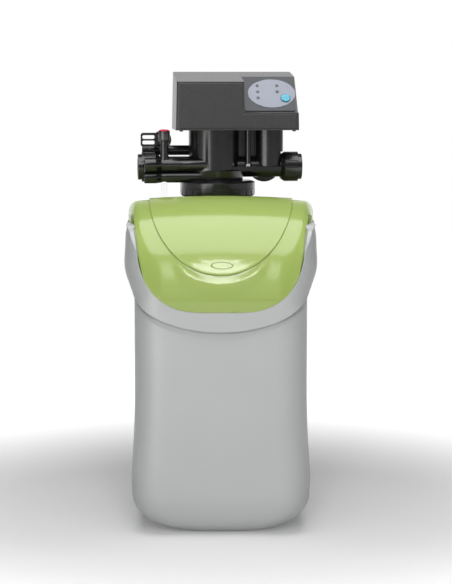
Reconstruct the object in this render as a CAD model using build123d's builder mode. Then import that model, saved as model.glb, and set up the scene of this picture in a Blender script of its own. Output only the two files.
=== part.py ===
from build123d import *
import math
import os

os.makedirs("parts", exist_ok=True)

# A cabinet water softener, in millimetres: X to the viewer's right, Y to the back, Z up.
# The origin is on the floor under the middle of the cabinet.

# Fits and clearances
gap = 0.4
running_fit = 0.06
cut_extra = 5

# Cabinet body
cabinet_front = -215
cabinet_back = 215
wall = 4
body_half_width = 122.8
flare_half_width = 127.3
flare_height = 80
waist_height = 190
band_proud = 3.5
base_corner_width = 72
base_corner_depth = 45
base_corner_height = 57
body_front_corner = 46
body_back_corner = 28
front_bow = 6

# Shoulder band of the cabinet
band_low = 293
band_side_low = 350
band_arc_half_width = 127
band_arc_height = 64
band_root_half_width = 127
shoulder_half_width = 137
shoulder_height = 379
rim_half_width = 134.5
rim_height = 447
rim_inner_half_width = 129.5
shoulder_corner = 58
slope_start = 320
slope_centre = -12
slope_rise = 192

# Parting line between the cabinet and its cover, seen from the front
parting_low = 320.6
parting_half_width = 125.6
parting_lean = 0.2
parting_shares = [(0, 0), (0.54, 0.055), (0.81, 0.275), (0.925, 0.58), (0.962, 0.82), (1, 1)]

# Top cover
cover_half_width = 132.5
cover_front = -212
cover_top = 466
cover_wall = 3
cover_edge = 305
cover_corner = 60
cover_slope_centre = -72
cover_top_round = 11
cover_front_round = 30
cover_back_step = 3
valve_opening_radius = 68
tube_hole_radius = 7

# Salt lid
lid_centre = 500
lid_half_width = 107
lid_half_height = 130
lid_back = 28
lid_thickness = 2
lid_overlap = 10
lid_lip = 3
lid_lip_depth = 5
hinge_spacing = 60
hinge_pin_radius = 1.5
hinge_back = 34.5
hinge_drop = 5.5
hinge_knuckle_radius = 3.2
hinge_knuckle_length = 10
hinge_lug_length = 6

# Pressure tank
tank_x = -5
tank_y = 105
tank_radius = 103
tank_wall = 4
tank_low = 80
tank_high = 375
tank_bottom_rise = 58
tank_top_rise = 70
neck_radius = 48
neck_top = 465
neck_bore = 31.7
boot_radius = 76
boot_height = 34
boot_foot_radius = 50
boot_foot_height = 13
boot_hole = 20
resin_top = 240

# Riser tube and basket
riser_radius = 13.35
riser_wall = 2
riser_low = 76
riser_top = 478
basket_radius = 24
basket_wall = 2
basket_low = 30
basket_slot = 2.4
basket_slots = 10

# Brine well, float and overflow
well_x = -70
well_y = -36
well_radius = 34
well_wall = 2.5
well_low = 21
well_top = 370
well_cap_height = 6
well_cap_overhang = 3
well_slot_width = 6
well_slot_height = 40
rod_radius = 4.5
rod_low = 42
float_radius = 18
float_height = 40
float_low = 230
float_travel = 30
check_radius = 12
check_height = 26
overflow_x = 70
overflow_z = 330
overflow_radius = 9
overflow_bore = 6.5
overflow_reach = 26
overflow_nut_radius = 14
overflow_nut_height = 6

# Salt grid
grid_height = 74
grid_thickness = 4
grid_back = -6
grid_slot_length = 26
grid_slot_width = 5
grid_pitch = 13
grid_leg_radius = 7
grid_margin = 12
grid_leg_places = ((-45, -145), (45, -145), (45, -20), (-18, -85))

# Brine tube
tube_radius = 4.85
tube_turn = 36
tube_end_turn = 34
tube_level = 424
tube_top = 495
grommet_radius = 9
grommet_flange = 1.4
tube_cup = 12
rod_collar = 3

# Valve: the tank's neck is its axis, and the whole valve is turned a little on it
valve_turn = 4.5
lock_ring_radius = 57.8
lock_ring_low = 465.4
lock_ring_top = 477.2
flange_low = 477.5
flange_top = 489
ring_chamfer = 2.5
lock_ring_notches = 24
notch_depth = 1.6
notch_width = 3
stub_radius = 31.4
stub_low = 443
cone_low_radius = 38.7
cone_top_radius = 41.9
cone_top = 505.6
main_u = -6
main_radius = 38.75
cylinder_top = 570
meter_u = 79.5
meter_radius = 22.3
port_z = 510
port_radius = 16
port_bore = 12.5
port_end = 101.3
port_flange = 2.7
port_flange_radius = 19.8
manifold_left = 20
manifold_right = 97
manifold_front = -27
manifold_back = 20
manifold_top = 511
manifold_height = 7
chamber_radius = 24
chamber_low = 497
meter_bore = 15.5
meter_bore_low = 522
passage_radius = 11

# Union nuts and their end fittings
nut_radius = 22.9
nut_start = 97.2
nut_end = 124
nut_taper = 6
nut_taper_depth = 4
nut_lip_bore = 17
nut_bore = 20.2
nut_ribs = 16
nut_rib_depth = 0.8
nut_rib_width = 3
fitting_end = 130
fitting_bore = 15.4
fitting_seat = 6
gasket_thickness = 1.5
left_shift = 6.5

# Meter turbine and rear cap
turbine_radius = 13
turbine_low = 532
turbine_height = 16
turbine_hub = 4
turbine_blades = 6
turbine_blade = 1.6
turbine_pin = 1.5
rear_u = 74.7
rear_z = 511
rear_boss_radius = 22
rear_boss_back = 22.8
rear_cap_radius = 25.7
rear_cap_back = 38
rear_cap_lobes = 12

# Piston and its cage
cage_wall = 6.2
cage_low = 497.4
cage_top = 561
cage_window_height = 9
cage_windows = 6
seal_width = 2.6
seal_depth = 1.8
piston_radius = 17.2
piston_low = 500
piston_height = 32
piston_wall = 4
piston_groove = 3
rod_stem_radius = 4
screw_radius = 6
screw_low = 578
screw_top = 604
screw_thread = 2.4
bonnet_flange_radius = 30
bonnet_flange = 3
spigot_radius = 8
spigot_height = 4

# Left cluster
injector_v = -26.5
injector_z = 514.5
injector_radius = 10.4
injector_joint = -61
cluster_end = -90.2
injector_groove = 0.8
upright_u = -84
upright_radius = 6.5
upright_top = 550
collar_radius = 9
collar_top = 565.5
red_cap_radius = 8.7
red_cap_height = 3
brine_v = -21.8
brine_z = 495.6
brine_radius = 8.9
brine_joint = -75
brine_socket = 5.25
drain_v = 21
drain_z = 534.7
drain_radius = 7.75
drain_joint = -60
drain_end = -116
drain_spigot = 20
drain_spigot_radius = 8.5
drain_bore = 4.5
hub_u = -86
hub_z = 551.8
hub_radius = 11
hub_front = 2
hub_pin_radius = 4
hub_pin_front = -5
lever_hub_radius = 14.3
lever_front = -3.4
lever_back = 1.6
lever_end = -119
lever_half_height = 10.8
lever_round = 4
lever_slot_height = 5.6
lever_bar = 2.7

# Pillar and bolt in front of the port
pillar_u = 45.6
pillar_v = -21.8
pillar_radius = 3.85
bolt_radius = 5.2
bolt_height = 4.5

# Head: drive plate, gears and motor
plate_thickness = 3
plate_margin = 0.6
gear_module = 1
gear_height = 6
gear_low = 577
main_teeth = 48
wheel_teeth = 40
pinion_teeth = 12
tooth_tip_share = 0.85
tooth_root_share = 1.2
root_half_share = 0.3
tip_half_share = 0.12
reduction_angle = 45
motor_angle = 6
wheel_low = 585.4
wheel_height = 4
main_hub_radius = 8.2
main_hub_top = 590
main_skirt_radius = 12
gear_pin_radius = 2
gear_pin_top = 592
motor_pinion_low = 584.8
motor_pinion_height = 5
motor_shaft_radius = 1.5
bracket_low = 591.5
bracket_thickness = 2
bracket_radius = 17
motor_radius = 15
motor_height = 30
post_radius = 2.5
post_circle = 20
post_angles = (75, -10, -75)
plate_screw_radius = 3.2
plate_screw_height = 2.4

# Head cover and display
head_left = -67.5
head_right = 120.4
head_front = -62
head_back = 62
head_low = 570.5
head_front_top = 641
head_back_top = 656
head_draft = 1.8
head_wall = 2.5
head_edge = 4
panel_left = 44
panel_ledge = 598
panel_setback = 21
panel_angle = 38
panel_thickness = 1.6
panel_round = 3
panel_length = 60
panel_border = 2.2
oval_width = 63
oval_height = 42
oval_thickness = 0.5
lens_radius = 1.8
lens_height = 1
lens_drop_shares = (0.30, 0.02, -0.26)
lens_side_shares = (-0.34, 0.14)
button_radius = 5.5
button_height = 2.2
button_across_share = 0.33
button_up_share = -0.28
board_gap = 6
board_thickness = 1.6
board_width = 64
board_height = 44
board_post_inset = 3.5
board_post_radius = 1.8
window_width = 56
window_height = 40
collar_flange = 1.4
stalk_radius = 1.4
hook_width = 5
hook_depth = 2
hook_height = 1.8
hook_inset = 8
inlet_u = -30
inlet_z = 588
inlet_radius = 7
inlet_reach = 9
inlet_bore = 3.4


def ease(share):
    """Runs smoothly from 0 to 1."""
    share = min(max(share, 0), 1)
    return share * share * (3 - 2 * share)


def closed_profile(points, plane):
    """A face bounded by straight lines."""
    with BuildSketch(plane) as drawn:
        with BuildLine():
            Polyline(*points, close=True)
        make_face()
    return drawn.sketch


def upright(x, y):
    """The vertical plane through a vertical axis, for turned pieces."""
    return Plane(origin=(x, y, 0), x_dir=(1, 0, 0), z_dir=(0, -1, 0))


def turn(points, x=0, y=0, mode=Mode.ADD):
    """Turns a profile of radius and height about a vertical axis."""
    revolve(closed_profile(points, upright(x, y)), axis=Axis((x, y, 0), (0, 0, 1)), mode=mode)


def tube_profile(inner, outer, low, high):
    """The profile of a plain ring or sleeve."""
    return [(inner, low), (outer, low), (outer, high), (inner, high)]


def upright_cylinder(radius, x, y, low, high, mode=Mode.ADD):
    """A vertical cylinder between two heights."""
    with Locations((x, y, (low + high) / 2)):
        Cylinder(radius, high - low, mode=mode)


def across_cylinder(radius, y, z, left, right, mode=Mode.ADD):
    """A cylinder along X between two places."""
    with Locations(((left + right) / 2, y, z)):
        Cylinder(radius, right - left, rotation=(0, 90, 0), mode=mode)


def deep_cylinder(radius, x, z, front, back, mode=Mode.ADD):
    """A cylinder along Y between two places."""
    with Locations((x, (front + back) / 2, z)):
        Cylinder(radius, back - front, rotation=(90, 0, 0), mode=mode)


def block(x_low, x_high, y_low, y_high, z_low, z_high, mode=Mode.ADD):
    """A box between its limits."""
    with Locations(((x_low + x_high) / 2, (y_low + y_high) / 2, (z_low + z_high) / 2)):
        Box(x_high - x_low, y_high - y_low, z_high - z_low, mode=mode)


def plan_outline(height, half_width, front, back, front_corner, back_corner):
    """A level slice of the cabinet: a bowed front, straight sides and rounded corners."""
    with BuildSketch(Plane.XY.offset(height)) as drawn:
        with BuildLine():
            ThreePointArc((-half_width, front + front_bow), (0, front), (half_width, front + front_bow))
            Polyline((half_width, front + front_bow), (half_width, back), (-half_width, back),
                     (-half_width, front + front_bow))
        make_face()
        fillet(drawn.vertices().group_by(Axis.Y)[0], front_corner)
        fillet(drawn.vertices().group_by(Axis.Y)[-1], back_corner)
    return drawn.sketch


def body_slice(height, inset):
    """A slice of the cabinet's lower body, whose bottom corners are elliptical."""
    drop = max(base_corner_height - height, 0) / (base_corner_height - inset)
    lost = 1 - math.sqrt(max(1 - drop * drop, 0))
    flare = 1 - ease((height - flare_height) / (waist_height - flare_height))
    half_width = body_half_width + (flare_half_width - body_half_width) * flare
    return plan_outline(
        height,
        half_width - inset - (base_corner_width - inset) * lost,
        cabinet_front + band_proud + inset + (base_corner_depth - inset) * lost,
        cabinet_back - inset - (base_corner_depth - inset) * lost,
        body_front_corner - inset,
        body_back_corner - inset,
    )


def corner_heights(inset):
    """Heights of the slices round the bottom corner, at even turns of its ellipse."""
    corner = base_corner_height - inset
    return [base_corner_height - corner * math.sin(math.radians(turned)) for turned in (90, 75, 60, 45, 30, 15, 0)]


def wall_heights(top):
    """Even heights up the body's wall."""
    steps = 6
    return [base_corner_height + (top - base_corner_height) * step / steps for step in range(steps + 1)]


def shoulder_half(height):
    """Half the width of the shoulder band, which swells above its root."""
    swell = ease((height - band_side_low) / (shoulder_height - band_side_low))
    close_in = ease((height - shoulder_height) / (rim_height - shoulder_height))
    return (band_root_half_width + (shoulder_half_width - band_root_half_width) * swell
            - (shoulder_half_width - rim_half_width) * close_in)


def shoulder_slice(height):
    """A slice of the shoulder band before its slope is cut."""
    share = ease((height - slope_start) / (rim_height - slope_start))
    corner = body_front_corner + (shoulder_corner - body_front_corner) * share
    return plan_outline(height, shoulder_half(height), cabinet_front, cabinet_back, corner, body_back_corner)


def side_region(front, centre, rise, low, top, back):
    """Seen from the side: straight up to the slope's start, then a quarter ellipse to its top."""
    with BuildSketch(Plane.YZ) as region:
        with Locations((centre, slope_start)):
            Ellipse(centre - front, rise)
        with Locations(((front + back) / 2, (low + slope_start) / 2)):
            Rectangle(back - front, slope_start - low)
        with Locations(((centre + back) / 2, (slope_start + top) / 2)):
            Rectangle(back - centre, top - slope_start)
        with Locations(((front + back) / 2, (low + top) / 2)):
            Rectangle(back - front, top - low, mode=Mode.INTERSECT)
    return region.sketch


def facing(back):
    """The front view's plane, set at a depth: extruding from it goes towards the front."""
    return Plane.XZ.offset(-back)


def parting_region(back, inset, top):
    """The U of the parting line, seen from the front, open upwards to a height."""
    reach = rim_height - parting_low
    right = [((parting_half_width - inset) * across, parting_low + inset + (reach - inset) * up)
             for across, up in parting_shares]
    left = [(-x, z) for x, z in reversed(right)]
    with BuildSketch(facing(back)) as region:
        with BuildLine():
            Spline(*left, *right[1:], tangents=[(parting_lean, -1), (parting_lean, 1)])
            Polyline(right[-1], (right[-1][0], top), (left[0][0], top), left[0])
        make_face()
    return region.sketch


def lid_region(back, inset):
    """The lid's ellipse, seen from the front."""
    with BuildSketch(facing(back)) as region:
        with Locations((0, lid_centre)):
            Ellipse(lid_half_width - inset, lid_half_height - inset)
    return region.sketch


def cover_slice(place, half_width, low, top, top_round):
    """An upright slice across the cover with rounded upper corners."""
    with BuildSketch(facing(place)) as drawn:
        with Locations((0, (low + top) / 2)):
            Rectangle(2 * half_width, top - low)
        fillet(drawn.vertices().group_by(Axis.Z)[-1], min(top_round, (top - low) / 3))
    return drawn.sketch


def cover_form(inset, low):
    """The cover's rounded form, drawn in by an inset: a quarter ellipse in front, straight behind."""
    reach = cover_slope_centre - cover_front - inset
    rise = cover_top - slope_start - inset
    corner = cover_corner - inset
    slices = []
    for turned in (5, 17, 29, 41, 53, 65, 77, 90):
        back_share = math.cos(math.radians(turned))
        place = cover_slope_centre - reach * back_share
        corner_share = max(1 - (1 - back_share) * reach / corner, 0)
        half_width = cover_half_width - inset - corner * (1 - math.sqrt(1 - corner_share ** 2))
        top = slope_start + rise * math.sin(math.radians(turned))
        top_round = cover_top_round + (cover_front_round - cover_top_round) * back_share - inset
        slices.append(cover_slice(place, half_width, low, top, top_round))
    back = cabinet_back - cover_back_step - inset
    with BuildPart() as form:
        loft(slices)
        extrude(cover_slice(back, cover_half_width - inset, low, cover_top - inset, cover_top_round - inset),
                amount=back - cover_slope_centre)
    return form.part


def gear_profile(teeth, first_angle, u, v, height):
    """A gear's outline with slim straight-sided teeth."""
    pitch = gear_module * teeth / 2
    tip = pitch + gear_module * tooth_tip_share
    root = pitch - gear_module * tooth_root_share
    points = []
    for tooth in range(teeth):
        middle = first_angle + 360 * tooth / teeth
        for radius, share in ((root, -root_half_share), (tip, -tip_half_share), (tip, tip_half_share),
                              (root, root_half_share)):
            angle = math.radians(middle + share * 360 / teeth)
            points.append((radius * math.cos(angle), radius * math.sin(angle)))
    return closed_profile(points, Plane(origin=(u, v, height)))


# Cabinet body: a hollow moulding with a swelling shoulder band, cut open along the parting line
with BuildPart() as band:
    band_foot = band_low - cut_extra
    loft([shoulder_slice(band_foot + (rim_height - band_foot) * step / 8) for step in range(9)])
    extrude(side_region(cabinet_front - cut_extra, slope_centre, slope_rise, band_low - 2 * cut_extra, rim_height,
                        cabinet_back + cut_extra),
            amount=shoulder_half_width + cut_extra, both=True, mode=Mode.INTERSECT)
    with BuildSketch(facing(cabinet_back + cut_extra)) as under_arc:
        with Locations((0, (band_low + band_side_low) / 2 - cut_extra)):
            Rectangle(2 * (shoulder_half_width + cut_extra), band_side_low - band_low + 2 * cut_extra)
        with Locations((0, band_low + band_arc_height)):
            Ellipse(band_arc_half_width, band_arc_height, mode=Mode.SUBTRACT)
    extrude(under_arc.sketch, amount=cabinet_back - cabinet_front + 2 * cut_extra, mode=Mode.SUBTRACT)
    side_foot = band_low + band_arc_height * (1 - math.sqrt(1 - (body_half_width / band_arc_half_width) ** 2))
    block(-shoulder_half_width - cut_extra, shoulder_half_width + cut_extra, 0, cabinet_back + cut_extra,
          band_low - 2 * cut_extra, side_foot, mode=Mode.SUBTRACT)

inner_front = cabinet_front + band_proud + wall
with BuildPart() as shoulder_hollow:
    loft([plan_outline(height, half_width, inner_front + step, cabinet_back - wall - step, body_front_corner - wall,
                       body_back_corner - wall)
          for height, half_width, step in ((band_side_low - 2 * cut_extra, body_half_width - 2 * wall, wall / 2),
                                           (shoulder_height, rim_inner_half_width, 0),
                                           (rim_height + cut_extra, rim_inner_half_width, 0))], ruled=True)
    extrude(side_region(inner_front, slope_centre, slope_rise - wall, band_low, rim_height + cut_extra,
                        cabinet_back),
            amount=shoulder_half_width, both=True, mode=Mode.INTERSECT)

with BuildPart() as cabinet_body:
    loft([body_slice(height, 0) for height in corner_heights(0)])
    loft([body_slice(height, 0) for height in wall_heights(band_side_low + cut_extra)])
    add(band.part)
    loft([body_slice(height, wall) for height in corner_heights(wall)], mode=Mode.SUBTRACT)
    loft([body_slice(height, wall) for height in wall_heights(band_side_low - cut_extra)], mode=Mode.SUBTRACT)
    add(shoulder_hollow.part, mode=Mode.SUBTRACT)
    extrude(parting_region(cabinet_back - wall, 0, rim_height + cut_extra),
            amount=cabinet_back - wall - cabinet_front + cut_extra, mode=Mode.SUBTRACT)
    deep_cylinder(overflow_radius + gap, overflow_x, overflow_z, 0, cabinet_back + cut_extra, mode=Mode.SUBTRACT)

# Top cover: a thin shell let into the parting line, open for the salt lid, the valve and the brine tube
with BuildPart() as cover_keep:
    extrude(parting_region(0, gap, rim_height + gap), amount=cabinet_back - cabinet_front)
    block(-cover_half_width - cut_extra, cover_half_width + cut_extra, cabinet_front, cabinet_back,
          rim_height + gap, cover_top + cut_extra)

hinge_height = cover_top - hinge_drop
turn_angle = math.radians(valve_turn)
tube_x = tank_x + upright_u * math.cos(turn_angle) - brine_v * math.sin(turn_angle)
tube_y = tank_y + upright_u * math.sin(turn_angle) + brine_v * math.cos(turn_angle)
with BuildPart() as top_cover:
    add(cover_form(0, cover_edge))
    add(cover_form(cover_wall, cover_edge - cut_extra), mode=Mode.SUBTRACT)
    add(cover_keep.part, mode=Mode.INTERSECT)
    extrude(lid_region(lid_back - lid_overlap, lid_overlap), amount=lid_back - cover_front, mode=Mode.SUBTRACT)
    upright_cylinder(valve_opening_radius, tank_x, tank_y, rim_height, cover_top + cut_extra, mode=Mode.SUBTRACT)
    upright_cylinder(tube_hole_radius, tube_x, tube_y, rim_height, cover_top + cut_extra, mode=Mode.SUBTRACT)
    for side in (-1, 1):
        middle = side * hinge_spacing
        slot_half = hinge_knuckle_length / 2 + gap
        block(middle - slot_half - hinge_lug_length, middle + slot_half + hinge_lug_length,
              hinge_back - hinge_knuckle_radius, hinge_back + hinge_knuckle_radius,
              hinge_height - hinge_knuckle_radius, cover_top - cover_wall / 2)
        block(middle - slot_half, middle + slot_half, lid_back - 2 * lid_thickness - 2 * gap,
              hinge_back + 2 * hinge_knuckle_radius + 3 * gap, hinge_height - 2 * hinge_knuckle_radius,
              cover_top + cut_extra, mode=Mode.SUBTRACT)
        across_cylinder(hinge_pin_radius + running_fit, hinge_back, hinge_height,
                        middle - slot_half - hinge_lug_length - cut_extra,
                        middle + slot_half + hinge_lug_length + cut_extra, mode=Mode.SUBTRACT)

# Salt lid: a thin shell over the cover with a lip inside the opening and two hinge arms
with BuildPart() as lid_lip_ring:
    add(cover_form(-gap - lid_thickness / 2, cover_edge))
    add(cover_form(lid_lip_depth, cover_edge - cut_extra), mode=Mode.SUBTRACT)
    extrude(lid_region(lid_back - lid_overlap - gap - lid_lip, lid_overlap + gap), amount=lid_back - cover_front,
            mode=Mode.INTERSECT)
    extrude(lid_region(lid_back, lid_overlap + gap + lid_lip), amount=lid_back - cover_front + cut_extra,
            mode=Mode.SUBTRACT)

with BuildPart() as salt_lid:
    add(cover_form(-gap - lid_thickness, cover_edge))
    add(cover_form(-gap, cover_edge - cut_extra), mode=Mode.SUBTRACT)
    extrude(lid_region(lid_back, 0), amount=lid_back - cover_front + cut_extra, mode=Mode.INTERSECT)
    add(lid_lip_ring.part)
    for side in (-1, 1):
        middle = side * hinge_spacing
        across_cylinder(hinge_knuckle_radius, hinge_back, hinge_height, middle - hinge_knuckle_length / 2,
                        middle + hinge_knuckle_length / 2)
        block(middle - hinge_knuckle_length / 2, middle + hinge_knuckle_length / 2, lid_back - 2 * lid_thickness,
              hinge_back, hinge_height, cover_top + gap + lid_thickness / 2)
        across_cylinder(hinge_pin_radius + running_fit, hinge_back, hinge_height, middle - hinge_knuckle_length,
                        middle + hinge_knuckle_length, mode=Mode.SUBTRACT)

with BuildPart() as hinge_pins:
    for side in (-1, 1):
        reach = hinge_knuckle_length / 2 + gap + hinge_lug_length
        across_cylinder(hinge_pin_radius, hinge_back, hinge_height, side * hinge_spacing - reach,
                        side * hinge_spacing + reach)

# Pressure tank: a wound vessel with domed ends, its neck open for the valve
def tank_section(inset, neck, low_neck, high_neck):
    """Half of the tank's section: two half ellipses, a straight wall and the neck."""
    with BuildSketch(upright(tank_x, tank_y)) as half:
        with Locations((0, tank_low)):
            Ellipse(tank_radius - inset, tank_bottom_rise - inset)
        with Locations((0, tank_high)):
            Ellipse(tank_radius - inset, tank_top_rise - inset)
        with Locations((0, (tank_low + tank_high) / 2)):
            Rectangle(2 * (tank_radius - inset), tank_high - tank_low)
        with Locations((0, (low_neck + high_neck) / 2)):
            Rectangle(2 * neck, high_neck - low_neck)
        with Locations((tank_radius, (tank_low + tank_high) / 2)):
            Rectangle(2 * tank_radius, 2 * tank_high, mode=Mode.INTERSECT)
    return half.sketch


tank_axis = Axis((tank_x, tank_y, 0), (0, 0, 1))
with BuildPart() as resin_tank:
    revolve(tank_section(0, neck_radius, tank_high, neck_top), axis=tank_axis)
    revolve(tank_section(tank_wall, neck_bore, tank_high, neck_top + cut_extra), axis=tank_axis, mode=Mode.SUBTRACT)

with BuildPart() as tank_boot:
    turn([(boot_hole, wall), (boot_foot_radius, wall), (boot_radius, wall + boot_foot_height),
          (boot_radius, wall + boot_height), (boot_hole, wall + boot_height)], tank_x, tank_y)
    revolve(tank_section(-gap, neck_radius, tank_high, neck_top), axis=tank_axis, mode=Mode.SUBTRACT)

with BuildPart() as resin_bed:
    revolve(tank_section(tank_wall + gap, neck_bore, tank_high, neck_top), axis=tank_axis)
    block(tank_x - tank_radius, tank_x + tank_radius, tank_y - tank_radius, tank_y + tank_radius, resin_top,
          neck_top + cut_extra, mode=Mode.SUBTRACT)
    upright_cylinder(riser_radius + gap, tank_x, tank_y, 0, resin_top + cut_extra, mode=Mode.SUBTRACT)
    upright_cylinder(basket_radius + gap, tank_x, tank_y, 0, riser_low + gap, mode=Mode.SUBTRACT)

with BuildPart() as riser_tube:
    turn(tube_profile(riser_radius - riser_wall, riser_radius, riser_low, riser_top), tank_x, tank_y)

with BuildPart() as bottom_basket:
    upright_cylinder(basket_radius, tank_x, tank_y, basket_low, riser_low)
    upright_cylinder(basket_radius - basket_wall, tank_x, tank_y, basket_low + basket_wall, riser_low - basket_wall,
                     mode=Mode.SUBTRACT)
    upright_cylinder(riser_radius - riser_wall, tank_x, tank_y, riser_low - 2 * basket_wall, riser_low + cut_extra,
                     mode=Mode.SUBTRACT)
    with Locations((tank_x, tank_y, (basket_low + riser_low) / 2)):
        with PolarLocations(basket_radius, basket_slots):
            Box(2 * cut_extra, basket_slot, riser_low - basket_low - 4 * basket_wall, mode=Mode.SUBTRACT)

# Salt grid: a slotted shelf in front of the tank on short legs
with BuildPart() as salt_grid:
    grid_half = body_half_width - wall - 2 * gap
    grid_front = inner_front + front_bow + gap
    with BuildSketch(Plane.XY.offset(grid_height)) as shelf:
        with Locations((0, (grid_front + grid_back) / 2)):
            Rectangle(2 * grid_half, grid_back - grid_front)
        fillet(shelf.vertices().group_by(Axis.Y)[0], body_front_corner)
        with Locations((tank_x, tank_y)):
            Circle(tank_radius + 2 * gap, mode=Mode.SUBTRACT)
        with Locations((well_x, well_y)):
            Circle(well_radius + 2 * gap, mode=Mode.SUBTRACT)
    extrude(shelf.sketch, amount=grid_thickness)
    slot_rows = int((grid_half - grid_margin) * 2 / (grid_slot_length + grid_slot_width))
    slot_lines = int((well_y - well_radius - grid_margin - grid_front) / grid_pitch)
    with Locations((0, (grid_front + well_y - well_radius) / 2, grid_height + grid_thickness / 2)):
        with GridLocations(grid_slot_length + grid_slot_width, grid_pitch, slot_rows - 1, slot_lines - 1):
            Box(grid_slot_length, grid_slot_width, 2 * grid_thickness, mode=Mode.SUBTRACT)
    for x, y in grid_leg_places:
        upright_cylinder(grid_leg_radius, x, y, wall + gap / 2, grid_height)

# Brine well with its cap, the float on its rod and the air check at its foot
with BuildPart() as brine_well:
    turn(tube_profile(well_radius - well_wall, well_radius, well_low, well_top), well_x, well_y)
    for level in (well_low + well_slot_height, well_low + 2.5 * well_slot_height):
        with Locations((well_x, well_y, level)):
            Box(well_slot_width, 3 * well_radius, well_slot_height, mode=Mode.SUBTRACT)
            Box(3 * well_radius, well_slot_width, well_slot_height, mode=Mode.SUBTRACT)

with BuildPart() as brine_well_cap:
    upright_cylinder(well_radius + well_cap_overhang, well_x, well_y, well_top + gap / 2, well_top + well_cap_height)
    upright_cylinder(well_radius - well_wall - gap, well_x, well_y, well_top - well_cap_height, well_top + well_cap_height / 2)
    upright_cylinder(rod_radius + gap, well_x, well_y, 0, well_top + 2 * well_cap_height, mode=Mode.SUBTRACT)

rod_top = well_top + 2 * well_cap_height
with BuildPart() as float_rod:
    turn([(0, rod_low), (rod_radius, rod_low), (rod_radius, rod_top), (tube_radius + well_wall, rod_top),
          (tube_radius + well_wall, rod_top + tube_cup), (0, rod_top + tube_cup)], well_x, well_y)
    upright_cylinder(tube_radius + gap, well_x, well_y, rod_top + tube_cup / 3, rod_top + 2 * tube_cup, mode=Mode.SUBTRACT)
    for level in (float_low - rod_collar - gap, float_low + float_height + float_travel + gap):
        upright_cylinder(rod_radius + rod_collar, well_x, well_y, level, level + rod_collar)

with BuildPart() as brine_float:
    turn([(rod_radius + gap, float_low), (float_radius, float_low + float_height / 8),
          (float_radius, float_low + float_height * 7 / 8), (rod_radius + gap, float_low + float_height)],
         well_x, well_y)

with BuildPart() as air_check:
    turn([(0, rod_low - check_height), (check_radius, rod_low - check_height), (check_radius, rod_low),
          (rod_radius + well_wall, rod_low + check_height / 4), (rod_radius + running_fit, rod_low + check_height / 4),
          (rod_radius + running_fit, rod_low - check_height / 4), (0, rod_low - check_height / 4)], well_x, well_y)

# Overflow: a hose fitting through the back wall with a nut inside
with BuildPart() as overflow_elbow:
    deep_cylinder(overflow_radius, overflow_x, overflow_z, cabinet_back - wall - 2 * overflow_nut_height,
                  cabinet_back + gap)
    deep_cylinder(overflow_nut_radius, overflow_x, overflow_z, cabinet_back + gap / 2,
                  cabinet_back + gap / 2 + overflow_nut_height / 2)
    deep_cylinder(overflow_radius, overflow_x, overflow_z, cabinet_back, cabinet_back + overflow_reach)
    deep_cylinder(overflow_bore, overflow_x, overflow_z, 0, cabinet_back + 2 * overflow_reach, mode=Mode.SUBTRACT)

with BuildPart() as overflow_nut:
    with BuildSketch(facing(cabinet_back - wall - gap / 2)) as hexagon:
        with Locations((overflow_x, overflow_z)):
            RegularPolygon(overflow_nut_radius, 6)
            Circle(overflow_radius + running_fit, mode=Mode.SUBTRACT)
    extrude(hexagon.sketch, amount=overflow_nut_height)

# Brine tube: from the elbow down through the cover, over the tank's dome and down to the well
tube_route = [
    (tube_x, tube_y, tube_top),
    (tube_x, tube_y, tube_level),
    (well_x, well_y, tube_level),
    (well_x, well_y, rod_top + tube_cup / 3 + gap),
]
tube_turns = (tube_turn, tube_end_turn)
with BuildPart() as brine_tube:
    with BuildLine() as tube_line:
        FilletPolyline(*tube_route, radius=tube_turns)
    with BuildSketch(Plane(origin=tube_route[0], z_dir=(0, 0, -1))):
        Circle(tube_radius)
    sweep(path=tube_line.wires()[0])
print("brine tube: turns of", tube_turns, "mm, length", round(tube_line.wires()[0].length, 1),
      "mm, volume over section times length",
      round(brine_tube.part.volume / (math.pi * tube_radius ** 2 * tube_line.wires()[0].length), 3))

with BuildPart() as tube_grommet:
    turn([(tube_radius + gap, cover_top + gap / 2), (grommet_radius, cover_top + gap / 2),
          (grommet_radius - grommet_flange, cover_top + gap / 2 + grommet_flange),
          (tube_radius + gap, cover_top + gap / 2 + grommet_flange)], tube_x, tube_y)
    turn(tube_profile(tube_radius + gap, tube_hole_radius - gap, cover_top - cover_wall, cover_top + gap),
         tube_x, tube_y)

# Everything below is drawn about the tank's neck: U to the right, V to the back
# Lock ring: screws the valve down on the tank's neck
with BuildPart() as lock_ring:
    turn([(stub_radius + gap, lock_ring_low), (lock_ring_radius - ring_chamfer, lock_ring_low),
          (lock_ring_radius, lock_ring_low + ring_chamfer), (lock_ring_radius, lock_ring_top),
          (stub_radius + gap, lock_ring_top)])
    with PolarLocations(lock_ring_radius, lock_ring_notches):
        with Locations((0, 0, lock_ring_low)):
            Box(notch_depth, notch_width, 2 * (lock_ring_top - lock_ring_low - ring_chamfer), mode=Mode.SUBTRACT)

with BuildPart() as neck_seal:
    turn(tube_profile(riser_radius + seal_width, stub_radius - gap, stub_low - seal_width, stub_low - gap / 2))

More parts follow.
